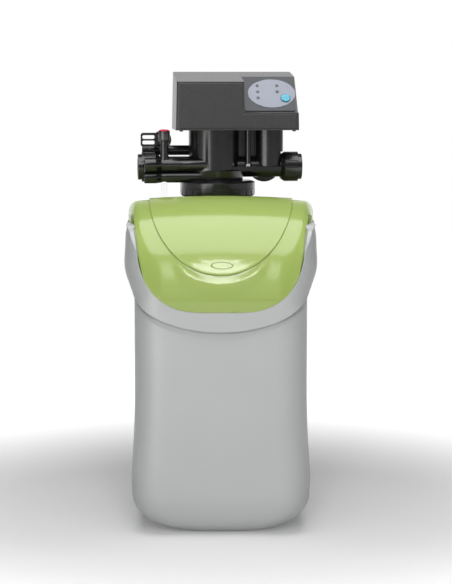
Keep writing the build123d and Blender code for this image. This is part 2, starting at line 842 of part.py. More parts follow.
# Valve body: flange, cone, main and meter cylinders, manifold, ports and the bosses of the left cluster
port_left = -(port_end - left_shift)
with BuildPart() as valve_body:
    turn([(0, stub_low), (stub_radius, stub_low), (stub_radius, flange_low), (lock_ring_radius, flange_low),
          (lock_ring_radius, flange_top - ring_chamfer), (lock_ring_radius - 2 * ring_chamfer, flange_top),
          (cone_low_radius, flange_top), (cone_top_radius, cone_top - ring_chamfer / 2),
          (cone_top_radius - ring_chamfer / 2, cone_top), (0, cone_top)])
    upright_cylinder(main_radius, main_u, 0, cone_top - ring_chamfer, cylinder_top)
    upright_cylinder(meter_radius, meter_u, 0, port_z, cylinder_top)
    block(nut_start - gap, port_end + nut_radius, -nut_radius, nut_radius, port_z - cut_extra,
          port_z + nut_radius + gap, mode=Mode.SUBTRACT)
    across_cylinder(port_radius, 0, port_z, port_left, port_end)
    for end, side in ((port_end, 1), (port_left, -1)):
        across_cylinder(port_flange_radius, 0, port_z, min(end, end + side * port_flange),
                        max(end, end + side * port_flange))
    block(manifold_left, manifold_right - gap, manifold_front, manifold_back, manifold_top - manifold_height,
          manifold_top)
    deep_cylinder(rear_boss_radius, rear_u, rear_z, 0, rear_boss_back)
    across_cylinder(injector_radius, injector_v, injector_z, injector_joint, main_u)
    across_cylinder(brine_radius, brine_v, brine_z, brine_joint, main_u)
    across_cylinder(drain_radius, drain_v, drain_z, drain_joint, main_u)
    upright_cylinder(riser_radius + 2 * running_fit, 0, 0, stub_low - cut_extra, riser_top + gap, mode=Mode.SUBTRACT)
    upright_cylinder(passage_radius, 0, 0, stub_low, chamber_low + cut_extra, mode=Mode.SUBTRACT)
    upright_cylinder(chamber_radius, main_u, 0, chamber_low, cylinder_top + cut_extra, mode=Mode.SUBTRACT)
    upright_cylinder(meter_bore, meter_u, 0, meter_bore_low, cylinder_top + cut_extra, mode=Mode.SUBTRACT)
    upright_cylinder(passage_radius, meter_u, 0, port_z, meter_bore_low + cut_extra, mode=Mode.SUBTRACT)
    across_cylinder(port_bore, 0, port_z, meter_u - meter_bore, port_end + 2 * port_flange, mode=Mode.SUBTRACT)
    across_cylinder(port_bore, 0, port_z, port_left - 2 * port_flange, main_u, mode=Mode.SUBTRACT)
    across_cylinder(drain_bore, drain_v, drain_z, drain_joint - cut_extra, main_u - chamber_radius / 2,
                    mode=Mode.SUBTRACT)
    deep_cylinder(passage_radius, rear_u, rear_z, 0, rear_boss_back + cut_extra, mode=Mode.SUBTRACT)

# Piston group: cage, seals, piston, rod and bonnet in the main cylinder
cage_inner = chamber_radius - running_fit - cage_wall
with BuildPart() as spacer_cage:
    turn(tube_profile(cage_inner, chamber_radius - running_fit, cage_low, cage_top), main_u)
    cage_pitch = (cage_top - cage_low - seal_width) / 4
    for level in range(4):
        with Locations((main_u, 0, cage_low + seal_width / 2 + cage_pitch * (level + 0.5))):
            with PolarLocations(chamber_radius, cage_windows):
                Box(3 * cage_wall, 2 * cage_wall, cage_window_height, mode=Mode.SUBTRACT)
    for level in range(5):
        low = cage_low + cage_pitch * level
        turn(tube_profile(chamber_radius - seal_depth, chamber_radius + cut_extra, low, low + seal_width), main_u,
             mode=Mode.SUBTRACT)

with BuildPart() as cage_seals:
    for level in range(5):
        low = cage_low + cage_pitch * level + running_fit
        turn(tube_profile(chamber_radius - seal_depth + running_fit, chamber_radius - running_fit, low,
                          low + seal_width - 2 * running_fit), main_u)

with BuildPart() as piston:
    turn(tube_profile(rod_stem_radius + running_fit, piston_radius, piston_low, piston_low + piston_height), main_u)
    for share in (0.25, 0.65):
        low = piston_low + share * piston_height
        turn(tube_profile(piston_radius - piston_wall, piston_radius + cut_extra, low, low + piston_groove), main_u,
             mode=Mode.SUBTRACT)
    with Locations((main_u, 0, piston_low + piston_height / 2)):
        with PolarLocations((piston_radius + rod_stem_radius) / 2, cage_windows):
            Cylinder(piston_wall / 2, piston_height + cut_extra, mode=Mode.SUBTRACT)

with BuildPart() as piston_rod:
    upright_cylinder(rod_stem_radius, main_u, 0, piston_low, screw_low + running_fit)
    threads = int((screw_top - screw_low) / screw_thread)
    for thread in range(threads):
        low = screw_low + thread * screw_thread
        turn([(0, low), (screw_radius - screw_thread / 2, low), (screw_radius, low + screw_thread / 2),
              (screw_radius - screw_thread / 2, low + screw_thread), (0, low + screw_thread)], main_u)

with BuildPart() as bonnet:
    turn([(rod_stem_radius + gap, cage_top + gap), (chamber_radius - running_fit, cage_top + gap),
          (chamber_radius - running_fit, cylinder_top + gap / 2), (bonnet_flange_radius, cylinder_top + gap / 2),
          (bonnet_flange_radius, cylinder_top + bonnet_flange), (spigot_radius, cylinder_top + bonnet_flange),
          (spigot_radius, cylinder_top + bonnet_flange + spigot_height),
          (rod_stem_radius + gap, cylinder_top + bonnet_flange + spigot_height)], main_u)

# Meter turbine on its pin, and the rear cap
with BuildPart() as turbine:
    turn(tube_profile(turbine_pin + running_fit, turbine_hub, turbine_low, turbine_low + turbine_height), meter_u)
    with Locations((meter_u, 0, turbine_low + turbine_height / 2)):
        with PolarLocations((turbine_radius + turbine_hub) / 2, turbine_blades):
            Box(turbine_radius - turbine_hub + turbine_blade / 2, turbine_blade, turbine_height * 3 / 4)

with BuildPart() as turbine_cage:
    upright_cylinder(turbine_pin, meter_u, 0, meter_bore_low + 2 * turbine_pin, cylinder_top - 2 * turbine_pin)
    for low in (meter_bore_low + turbine_pin, cylinder_top - plate_thickness - turbine_pin):
        turn(tube_profile(meter_bore - plate_thickness, meter_bore - running_fit, low, low + plate_thickness), meter_u)
        with Locations((meter_u, 0, low + plate_thickness / 2)):
            Box(2 * meter_bore - plate_thickness, 2 * turbine_pin, plate_thickness)
            Box(2 * turbine_pin, 2 * meter_bore - plate_thickness, plate_thickness)
    turn(tube_profile(turbine_pin / 2, turbine_hub, turbine_low - gap - turbine_blade, turbine_low - gap), meter_u)

with BuildPart() as meter_cap:
    deep_cylinder(rear_cap_radius, rear_u, rear_z, rear_boss_back + gap / 2, rear_cap_back)
    chamfer(meter_cap.edges().filter_by(GeomType.CIRCLE).sort_by(Axis.Y)[-1], ring_chamfer)
    deep_cylinder(passage_radius - gap, rear_u, rear_z, rear_boss_back - rear_cap_lobes, rear_boss_back + cut_extra)

# Union nuts and end fittings: the left ones mirror the right ones, set a little further in
def nut_section():
    """Half the section of a nut: a lip behind the port's flange and a straight bore."""
    return [(nut_lip_bore, nut_start), (nut_radius - nut_taper_depth, nut_start), (nut_radius, nut_start + nut_taper),
            (nut_radius, nut_end), (nut_bore, nut_end), (nut_bore, port_end - gap), (nut_lip_bore, port_end - gap)]


def across_turn(points):
    """Turns a profile of place along U and radius about the port's axis."""
    with BuildSketch(Plane.XZ.offset(0)) as drawn:
        with BuildLine():
            Polyline(*[(along, port_z + radius) for radius, along in points], close=True)
        make_face()
    revolve(drawn.sketch, axis=Axis((0, 0, port_z), (1, 0, 0)))


with BuildPart() as right_union_nut:
    across_turn(nut_section())
    with Locations(Plane(origin=((nut_start + nut_taper + nut_end) / 2, 0, port_z), z_dir=(1, 0, 0))):
        with PolarLocations(nut_radius, nut_ribs):
            Box(2 * nut_rib_depth, nut_rib_width, nut_end - nut_start - nut_taper - nut_rib_width, mode=Mode.SUBTRACT)

gasket_start = port_end + port_flange + running_fit
with BuildPart() as right_gasket:
    across_turn(tube_profile(port_bore, port_flange_radius - running_fit, gasket_start, gasket_start + gasket_thickness))

fitting_start = gasket_start + gasket_thickness + running_fit
with BuildPart() as right_end_fitting:
    across_turn([(port_bore, fitting_start), (nut_bore - gap, fitting_start), (nut_bore - gap, fitting_end),
                 (fitting_bore, fitting_end), (fitting_bore, fitting_start + fitting_seat),
                 (port_bore, fitting_start + fitting_seat)])

with BuildPart() as left_union_nut:
    add(mirror(right_union_nut.part, about=Plane.YZ, mode=Mode.PRIVATE).moved(Location((left_shift, 0, 0))))
with BuildPart() as left_gasket:
    add(mirror(right_gasket.part, about=Plane.YZ, mode=Mode.PRIVATE).moved(Location((left_shift, 0, 0))))
with BuildPart() as left_end_fitting:
    add(mirror(right_end_fitting.part, about=Plane.YZ, mode=Mode.PRIVATE).moved(Location((left_shift, 0, 0))))

# Left cluster: injector with its upright, brine elbow, drain outlet with the flow control hub and lever
with BuildPart() as injector_housing:
    across_cylinder(injector_radius, injector_v, injector_z, cluster_end, injector_joint - gap)
    upright_cylinder(upright_radius, upright_u, injector_v, injector_z, upright_top)
    upright_cylinder(collar_radius - ring_chamfer / 2, upright_u, injector_v, injector_z,
                     injector_z + injector_radius + ring_chamfer)
    across_cylinder(passage_radius / 2, injector_v, injector_z, cluster_end / 1.2, 0, mode=Mode.SUBTRACT)

with BuildPart() as upright_collar:
    turn([(0, upright_top + running_fit), (collar_radius - injector_groove, upright_top + running_fit),
          (collar_radius, upright_top + ring_chamfer), (collar_radius, collar_top), (0, collar_top)],
         upright_u, injector_v)

with BuildPart() as red_cap:
    turn([(0, collar_top + running_fit), (red_cap_radius, collar_top + running_fit),
          (red_cap_radius, collar_top + red_cap_height / 3), (red_cap_radius * 0.7, collar_top + red_cap_height * 0.85),
          (red_cap_radius * 0.3, collar_top + red_cap_height), (0, collar_top + red_cap_height)],
         upright_u, injector_v)

with BuildPart() as brine_elbow:
    across_cylinder(brine_radius, brine_v, brine_z, cluster_end, brine_joint - gap / 2)
    upright_cylinder(brine_socket, upright_u, brine_v, brine_z - 2 * brine_radius, tube_top + gap, mode=Mode.SUBTRACT)

with BuildPart() as drain_outlet:
    across_cylinder(drain_radius, drain_v, drain_z, drain_end, drain_joint - gap / 2)
    across_cylinder(drain_spigot_radius, drain_v, drain_z, drain_end, drain_end + drain_spigot)
    upright_cylinder(drain_radius, hub_u, drain_v, drain_z, hub_z)
    deep_cylinder(hub_radius, hub_u, hub_z, hub_front, drain_v + drain_radius)
    deep_cylinder(hub_pin_radius, hub_u, hub_z, hub_pin_front, hub_front + cut_extra)
    across_cylinder(drain_bore, drain_v, drain_z, drain_end - cut_extra, drain_joint, mode=Mode.SUBTRACT)

with BuildPart() as loop_lever:
    with BuildSketch(facing(lever_back)) as outline:
        lever_mid = (lever_end + hub_u) / 2
        with Locations((lever_mid, hub_z)):
            Rectangle(hub_u - lever_end, 2 * lever_half_height)
        fillet(outline.vertices().group_by(Axis.X)[0], lever_round)
        with Locations((hub_u, hub_z)):
            Circle(lever_hub_radius)
            Circle(hub_pin_radius + running_fit, mode=Mode.SUBTRACT)
        slot_left = lever_end + lever_bar
        slot_right = hub_u - lever_hub_radius + lever_bar
        for side in (-1, 1):
            with Locations(((slot_left + slot_right) / 2, hub_z + side * (lever_slot_height + lever_bar) / 2)):
                RectangleRounded(slot_right - slot_left, lever_slot_height, lever_slot_height / 2.5, mode=Mode.SUBTRACT)
    extrude(outline.sketch, amount=lever_back - lever_front)

# Pillar on its bolt, between the manifold and the head
with BuildPart() as hex_bolt:
    with BuildSketch(Plane.XY.offset(manifold_top + running_fit)):
        with Locations((pillar_u, pillar_v)):
            RegularPolygon(bolt_radius, 6)
    extrude(amount=bolt_height)

with BuildPart() as pillar:
    upright_cylinder(pillar_radius, pillar_u, pillar_v, manifold_top + bolt_height + 2 * running_fit,
                     cylinder_top - running_fit)

# Drive plate on the two cylinders, with its screws
plate_left = head_left + head_wall + plate_margin
plate_right = head_right - head_wall - plate_margin
plate_front = head_front + head_wall + plate_margin
plate_back = head_back - head_wall - plate_margin
plate_top = cylinder_top + plate_thickness
screw_places = [(main_u - main_radius + 1.6 * plate_screw_radius, 0), (main_u, main_radius - 1.6 * plate_screw_radius),
                (main_u, 1.6 * plate_screw_radius - main_radius), (meter_u + meter_radius * 0.6, meter_radius * 0.6),
                (meter_u + meter_radius * 0.6, -meter_radius * 0.6)]
with BuildPart() as drive_plate:
    block(plate_left, plate_right, plate_front, plate_back, cylinder_top + running_fit, plate_top)
    fillet(drive_plate.edges().filter_by(Axis.Z), head_edge)
    upright_cylinder(bonnet_flange_radius + gap, main_u, 0, cylinder_top - cut_extra, plate_top + cut_extra,
                     mode=Mode.SUBTRACT)

with BuildPart() as plate_screws:
    for x, y in screw_places:
        upright_cylinder(plate_screw_radius, x, y, plate_top + running_fit, plate_top + plate_screw_height)
        with Locations((x, y, plate_top + plate_screw_height)):
            Box(2 * plate_screw_radius, plate_screw_radius / 3, plate_screw_height / 2, mode=Mode.SUBTRACT)

# Gear train: motor pinion, reduction gear and the main gear that drives the piston's screw
reduction_reach = gear_module * (main_teeth + pinion_teeth) / 2
reduction_u = main_u + reduction_reach * math.cos(math.radians(reduction_angle))
reduction_v = reduction_reach * math.sin(math.radians(reduction_angle))
motor_reach = gear_module * (wheel_teeth + pinion_teeth) / 2
motor_u = reduction_u + motor_reach * math.cos(math.radians(motor_angle))
motor_v = reduction_v + motor_reach * math.sin(math.radians(motor_angle))
half_tooth = 180 / pinion_teeth

with BuildPart() as main_gear:
    extrude(gear_profile(main_teeth, reduction_angle, main_u, 0, gear_low), amount=gear_height)
    turn(tube_profile(0, main_hub_radius, gear_low, main_hub_top), main_u)
    turn(tube_profile(0, main_skirt_radius, plate_top + gap, gear_low + gap), main_u)
    upright_cylinder(spigot_radius + running_fit, main_u, 0, cylinder_top,
                     cylinder_top + bonnet_flange + spigot_height + gap, mode=Mode.SUBTRACT)
    upright_cylinder(screw_radius + gap, main_u, 0, cylinder_top, main_hub_top + cut_extra, mode=Mode.SUBTRACT)
    with Locations((main_u, 0, gear_low + gear_height / 2)):
        with PolarLocations(main_teeth * gear_module * 0.34, 6):
            Cylinder(main_teeth * gear_module / 14, 2 * gear_height, mode=Mode.SUBTRACT)

with BuildPart() as reduction_gear:
    extrude(gear_profile(pinion_teeth, reduction_angle + 180 + half_tooth, reduction_u, reduction_v, gear_low),
            amount=wheel_low - gear_low)
    extrude(gear_profile(wheel_teeth, motor_angle, reduction_u, reduction_v, wheel_low), amount=wheel_height)
    upright_cylinder(gear_pin_radius + running_fit, reduction_u, reduction_v, 0, head_back_top, mode=Mode.SUBTRACT)
    with Locations((reduction_u, reduction_v, wheel_low + wheel_height / 2)):
        with PolarLocations(wheel_teeth * gear_module * 0.34, 5):
            Cylinder(wheel_teeth * gear_module / 12, 2 * wheel_height, mode=Mode.SUBTRACT)

with BuildPart() as gear_pin:
    upright_cylinder(gear_pin_radius, reduction_u, reduction_v, plate_top + running_fit, gear_pin_top)
    upright_cylinder(2 * gear_pin_radius, reduction_u, reduction_v, plate_top + running_fit, gear_low - gap)

bracket_top = bracket_low + bracket_thickness
with BuildPart() as motor_pinion:
    extrude(gear_profile(pinion_teeth, motor_angle + 180 + half_tooth, motor_u, motor_v, motor_pinion_low),
            amount=motor_pinion_height)
    upright_cylinder(motor_shaft_radius, motor_u, motor_v, motor_pinion_low, bracket_top + motor_height / 3)

with BuildPart() as motor_bracket:
    upright_cylinder(bracket_radius, motor_u, motor_v, bracket_low, bracket_top)
    for angle in post_angles:
        post_x = motor_u + post_circle * math.cos(math.radians(angle))
        post_y = motor_v + post_circle * math.sin(math.radians(angle))
        upright_cylinder(2 * post_radius, post_x, post_y, bracket_low, bracket_top)
        upright_cylinder(post_radius, post_x, post_y, plate_top + running_fit, bracket_low + bracket_thickness / 2)
    upright_cylinder(2 * motor_shaft_radius, motor_u, motor_v, 0, head_back_top, mode=Mode.SUBTRACT)

with BuildPart() as motor:
    upright_cylinder(motor_radius, motor_u, motor_v, bracket_top + running_fit, bracket_top + motor_height)
    upright_cylinder(motor_radius / 2.5, motor_u, motor_v, bracket_top + motor_height,
                     bracket_top + motor_height + 2 * bracket_thickness)
    upright_cylinder(motor_shaft_radius + running_fit, motor_u, motor_v, 0, bracket_top + motor_height / 3 + gap,
                     mode=Mode.SUBTRACT)
    chamfer(motor.faces().sort_by(Axis.Z)[-1].edges(), bracket_thickness / 2)


# Head cover: a drafted shell with a sloping top and a sunk corner for the display
def head_front_view(inset, back):
    """The cover seen from the front, drawn in by an inset and open below."""
    low = head_low - (cut_extra if inset else 0)
    with BuildSketch(facing(back)) as drawn:
        with BuildLine():
            Polyline((head_left + inset, low), (head_right - inset, low),
                     (head_right - head_draft - inset, head_back_top), (head_left + head_draft + inset, head_back_top),
                     close=True)
        make_face()
    return drawn.sketch


def head_side_view(inset):
    """The cover seen from its side, with its top falling towards the front."""
    low = head_low - (cut_extra if inset else 0)
    with BuildSketch(Plane.YZ) as drawn:
        with BuildLine():
            Polyline((head_front + inset, low), (head_front + head_draft + inset, head_front_top - inset),
                     (head_back - head_draft - inset, head_back_top - inset), (head_back - inset, low), close=True)
        make_face()
    return drawn.sketch


def display_corner(outset, left):
    """The corner taken out for the display: a ledge, then a face that leans back."""
    lean = math.tan(math.radians(panel_angle))
    low = panel_ledge - outset
    fold = head_front + panel_setback + outset / math.cos(math.radians(panel_angle)) - outset * lean
    high = head_back_top + cut_extra
    with BuildSketch(Plane.YZ.offset(left - outset)) as drawn:
        with BuildLine():
            Polyline((head_front - cut_extra, low), (fold, low), (fold + (high - low) * lean, high),
                     (head_front - cut_extra, high), close=True)
        make_face()
    return extrude(drawn.sketch, amount=head_right + cut_extra - left + outset, mode=Mode.PRIVATE)


lean_angle = math.radians(panel_angle)
panel_middle_up = panel_length / 2 + panel_border
panel_middle = ((panel_left + head_right - head_draft) / 2,
                head_front + panel_setback + panel_middle_up * math.sin(lean_angle),
                panel_ledge + panel_middle_up * math.cos(lean_angle))
panel_plane = Plane(origin=panel_middle, x_dir=(1, 0, 0), z_dir=(0, -math.cos(lean_angle), math.sin(lean_angle)))
panel_width = head_right - head_draft - panel_left - 2 * panel_border
lens_places = [(lens_side_shares[0] * oval_width, share * oval_height) for share in lens_drop_shares]
lens_places += [(lens_side_shares[1] * oval_width, share * oval_height) for share in lens_drop_shares[:2]]
button_place = (button_across_share * oval_width, button_up_share * oval_height)

with BuildPart() as head_hollow:
    extrude(head_front_view(head_wall, head_back), amount=head_back - head_front)
    extrude(head_side_view(head_wall), amount=head_right - head_left, both=True, mode=Mode.INTERSECT)
    add(display_corner(head_wall, panel_left), mode=Mode.SUBTRACT)

with BuildPart() as head_cover:
    extrude(head_front_view(0, head_back), amount=head_back - head_front)
    extrude(head_side_view(0), amount=head_right - head_left, both=True, mode=Mode.INTERSECT)
    fillet(head_cover.edges().filter_by(lambda edge: abs(edge.tangent_at(0.5).Z) > 0.9), head_edge)
    add(display_corner(0, panel_left), mode=Mode.SUBTRACT)
    add(head_hollow.part, mode=Mode.SUBTRACT)
    with BuildSketch(panel_plane.offset(cut_extra)):
        Rectangle(window_width, window_height)
    extrude(amount=-cut_extra - head_wall - panel_border, mode=Mode.SUBTRACT)
    with BuildSketch(panel_plane.offset(-head_wall / 2)):
        with GridLocations(board_width - board_post_inset, board_height - 2 * board_post_inset, 2, 2):
            Circle(board_post_radius)
    extrude(amount=head_wall / 2 - board_gap + running_fit)
    for x in (head_left + hook_inset, head_right - hook_inset):
        for y in (head_front + hook_depth / 4, head_back - hook_depth * 5 / 4):
            block(x - hook_width / 2, x + hook_width / 2, y, y + hook_depth, head_low - hook_height,
                  head_low + hook_height)
    deep_cylinder(inlet_bore, inlet_u, inlet_z, head_back - head_edge - head_wall, head_back + cut_extra,
                  mode=Mode.SUBTRACT)

with BuildPart() as power_inlet:
    back_face = head_back - head_draft * (inlet_z - head_low) / (head_back_top - head_low)
    deep_cylinder(inlet_radius, inlet_u, inlet_z, back_face + gap, back_face + inlet_reach)
    deep_cylinder(inlet_bore - gap, inlet_u, inlet_z, back_face - 2 * head_wall, back_face + gap)
    deep_cylinder(inlet_bore / 2, inlet_u, inlet_z, back_face - 3 * head_wall, back_face + 2 * inlet_reach,
                  mode=Mode.SUBTRACT)

# Display: panel, oval face, lenses, push button and the board behind them
def display_holes(extra):
    """Holes for the lenses and the push button."""
    with Locations(*lens_places):
        Circle(lens_radius + extra, mode=Mode.SUBTRACT)
    with Locations(button_place):
        Circle(button_radius + extra, mode=Mode.SUBTRACT)


with BuildPart() as display_panel:
    with BuildSketch(panel_plane.offset(running_fit)):
        RectangleRounded(panel_width, panel_length, panel_round)
        display_holes(gap)
    extrude(amount=panel_thickness - running_fit)

with BuildPart() as oval_face:
    with BuildSketch(panel_plane.offset(panel_thickness + running_fit)):
        Ellipse(oval_width / 2, oval_height / 2)
        display_holes(gap)
    extrude(amount=oval_thickness)

with BuildPart() as indicator_lenses:
    with BuildSketch(panel_plane.offset(-board_gap + running_fit)):
        with Locations(*lens_places):
            Circle(stalk_radius)
    extrude(amount=board_gap)
    with BuildSketch(panel_plane):
        with Locations(*lens_places):
            Circle(lens_radius)
    extrude(amount=panel_thickness + oval_thickness + lens_height)

with BuildPart() as regen_button:
    with BuildSketch(panel_plane.offset(-gap)):
        with Locations(button_place):
            Circle(button_radius)
    extrude(amount=gap + panel_thickness + oval_thickness + button_height)
    chamfer(regen_button.faces().sort_by(Axis.Y)[0].edges(), gap)
    with BuildSketch(panel_plane.offset(-gap)):
        with Locations(button_place):
            Circle(button_radius + collar_flange)
    extrude(amount=-collar_flange)

with BuildPart() as circuit_board:
    with BuildSketch(panel_plane.offset(-board_gap)):
        Rectangle(board_width, board_height)
    extrude(amount=-board_thickness)

# Every piece in its own file; the valve and the head are turned together on the tank's neck
cabinet_pieces = {
    "cabinet_body": cabinet_body, "top_cover": top_cover, "salt_lid": salt_lid, "hinge_pins": hinge_pins,
    "resin_tank": resin_tank, "tank_boot": tank_boot, "resin_bed": resin_bed, "riser_tube": riser_tube,
    "bottom_basket": bottom_basket, "salt_grid": salt_grid, "brine_well": brine_well,
    "brine_well_cap": brine_well_cap, "float_rod": float_rod, "brine_float": brine_float, "air_check": air_check,
    "overflow_elbow": overflow_elbow, "overflow_nut": overflow_nut, "brine_tube": brine_tube,
    "tube_grommet": tube_grommet,
}
valve_pieces = {
    "lock_ring": lock_ring, "neck_seal": neck_seal, "valve_body": valve_body, "spacer_cage": spacer_cage,
    "cage_seals": cage_seals, "piston": piston, "piston_rod": piston_rod, "bonnet": bonnet, "turbine": turbine,
    "turbine_cage": turbine_cage, "meter_cap": meter_cap, "right_union_nut": right_union_nut,
    "right_gasket": right_gasket, "right_end_fitting": right_end_fitting, "left_union_nut": left_union_nut,
    "left_gasket": left_gasket, "left_end_fitting": left_end_fitting, "injector_housing": injector_housing,
    "upright_collar": upright_collar, "red_cap": red_cap, "brine_elbow": brine_elbow, "drain_outlet": drain_outlet,
    "loop_lever": loop_lever, "hex_bolt": hex_bolt, "pillar": pillar, "drive_plate": drive_plate,
    "plate_screws": plate_screws, "main_gear": main_gear, "reduction_gear": reduction_gear, "gear_pin": gear_pin,
    "motor_pinion": motor_pinion, "motor_bracket": motor_bracket, "motor": motor, "head_cover": head_cover,
    "power_inlet": power_inlet, "display_panel": display_panel, "oval_face": oval_face,
    "indicator_lenses": indicator_lenses, "regen_button": regen_button, "circuit_board": circuit_board,
}
for name, piece in cabinet_pieces.items():
    piece.part.label = name
    export_step(piece.part, f"parts/{name}.step")
valve_place = Location((tank_x, tank_y, 0), (0, 0, valve_turn))
for name, piece in valve_pieces.items():
    placed = piece.part.moved(valve_place)
    placed.label = name
    export_step(placed, f"parts/{name}.step")
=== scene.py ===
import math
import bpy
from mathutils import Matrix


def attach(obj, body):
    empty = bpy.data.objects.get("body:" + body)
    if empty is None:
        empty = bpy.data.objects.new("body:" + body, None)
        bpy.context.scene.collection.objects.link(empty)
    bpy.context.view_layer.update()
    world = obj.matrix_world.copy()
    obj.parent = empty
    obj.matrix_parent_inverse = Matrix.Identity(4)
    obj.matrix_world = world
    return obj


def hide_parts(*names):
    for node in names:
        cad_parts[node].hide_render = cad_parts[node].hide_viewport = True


bl_info = {
    "name": "Cabinet water softener",
    "version": (1, 0, 0),
    "blender": (4, 5, 0),
    "location": "View3D > Sidebar > Softener",
    "description": "Dresses a packed cabinet water softener with its finishes, trim and studio",
    "category": "Object",
}

import bmesh
import bpy
from bpy.props import FloatProperty, PointerProperty
from mathutils import Matrix, Vector
from mathutils.bvhtree import BVHTree

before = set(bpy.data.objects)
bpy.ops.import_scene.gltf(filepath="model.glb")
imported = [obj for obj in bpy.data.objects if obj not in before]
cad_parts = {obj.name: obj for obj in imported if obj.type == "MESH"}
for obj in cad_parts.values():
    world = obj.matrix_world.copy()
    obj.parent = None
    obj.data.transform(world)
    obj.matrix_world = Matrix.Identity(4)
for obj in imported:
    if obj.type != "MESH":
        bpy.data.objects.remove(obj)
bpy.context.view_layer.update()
MM = 0.001

# The valve and its head stand turned a little on the tank's neck
NECK = Matrix.Translation((-0.005, 0.105, 0)) @ Matrix.Rotation(math.radians(4.5), 4, "Z")

# The slope under the lid is part of an oval barrel that lies across the cabinet: its axis, how far it
# rises and reaches to the front, and how far it rises once it is crowned
AXIS_Y, AXIS_Z = -0.072, 0.320
RISE, REACH, CROWN = 0.146, 0.140, 0.153
# The lid's lower seam is half an oval: its half width, and its middle and depth over the barrel's axis
SEAM_HALF, SEAM_MIDDLE, SEAM_DEPTH = 0.107, 0.180, 0.130
# The underside of the cover's ledge, over the cabinet's rim
LEDGE = 0.4474

# The dressed head: its lower edge and its top, and the place and slope of its leaning front
HEAD_LOW, HEAD_TOP = 0.5675, 0.656
FRONT_Y, FRONT_Z, FRONT_SLOPE = -0.062, 0.5705, 0.0018 / 0.0855
# The display's recess: its ledge, the lean of its panel, and how much wider, lower and further forward it is made
RECESS_LEDGE, PANEL_LEAN = 0.598, math.radians(52)
RECESS_WIDER, RECESS_LOWER, RECESS_FORWARD = 8.0 * MM, 4.0 * MM, 3.1 * MM


def linear(code):
    """Turns an sRGB hex value to linear colour."""
    parts = [int(code[place:place + 2], 16) / 255 for place in (1, 3, 5)]
    return [part / 12.92 if part <= 0.04045 else ((part + 0.055) / 1.055) ** 2.4 for part in parts] + [1.0]


def add_node(tree, kind, links=(), values=(), **settings):
    """Adds a node, sets its fields and sockets, and links its inputs."""
    node = tree.nodes.new(kind)
    for key, value in settings.items():
        if hasattr(node, key) and key not in node.inputs:
            setattr(node, key, value)
        else:
            node.inputs[key.replace("_", " ")].default_value = value
    for socket, value in values:
        node.inputs[socket].default_value = value
    for socket, source in links:
        tree.links.new(source, node.inputs[socket])
    return node


def new_material(name):
    """A material with an empty node tree."""
    material = bpy.data.materials.new(name)
    material.use_nodes = True
    material.node_tree.nodes.clear()
    return material, material.node_tree


def moulded_finish(name, dark, light, roughness, spread, grain, relief, coat=0.0, edge=0.6 * MM, ior=1.5):
    """A moulded thermoplastic: soft tone drift, the grain of the mould's skin and rounded edges."""
    material, tree = new_material(name)
    place = add_node(tree, "ShaderNodeTexCoord").outputs["Object"]
    drift = add_node(tree, "ShaderNodeTexNoise", [("Vector", place)], Scale=9.0, Detail=2.0)
    tone = add_node(tree, "ShaderNodeMix", [("Factor", drift.outputs["Fac"])],
                    [(6, linear(dark)), (7, linear(light))], data_type="RGBA")
    skin = add_node(tree, "ShaderNodeTexNoise", [("Vector", place)], Scale=1 / (grain * MM), Detail=3.0)
    gloss = add_node(tree, "ShaderNodeMapRange", [("Value", skin.outputs["Fac"])],
                     To_Min=roughness - spread, To_Max=roughness + spread)
    round_edge = add_node(tree, "ShaderNodeBevel", samples=4, Radius=edge)
    bump = add_node(tree, "ShaderNodeBump", [("Height", skin.outputs["Fac"]), ("Normal", round_edge.outputs[0])],
                    Strength=relief, Distance=0.3 * MM)
    shader = add_node(tree, "ShaderNodeBsdfPrincipled",
                      [("Base Color", tone.outputs[2]), ("Roughness", gloss.outputs[0]), ("Normal", bump.outputs[0])],
                      IOR=ior, Coat_Weight=coat, Coat_Roughness=0.06)
    add_node(tree, "ShaderNodeOutputMaterial", [("Surface", shader.outputs[0])])
    return material


def clear_vinyl():
    """Extruded clear vinyl tube: nearly invisible, with pale lines where its wall is seen edge on."""
    material, tree = new_material("clear_vinyl_tube")
    rim = add_node(tree, "ShaderNodeLayerWeight", Blend=0.35)
    thin = add_node(tree, "ShaderNodeMapRange", [("Value", rim.outputs["Facing"])],
                    From_Min=0.35, To_Min=0.05, To_Max=0.45)
    clear = add_node(tree, "ShaderNodeBsdfTransparent")
    wall = add_node(tree, "ShaderNodeBsdfPrincipled", Base_Color=linear("#B9C2C8"), Roughness=0.12, IOR=1.53)
    mixed = add_node(tree, "ShaderNodeMixShader", [(0, thin.outputs[0]), (1, clear.outputs[0]), (2, wall.outputs[0])])
    add_node(tree, "ShaderNodeOutputMaterial", [("Surface", mixed.outputs[0])])
    return material


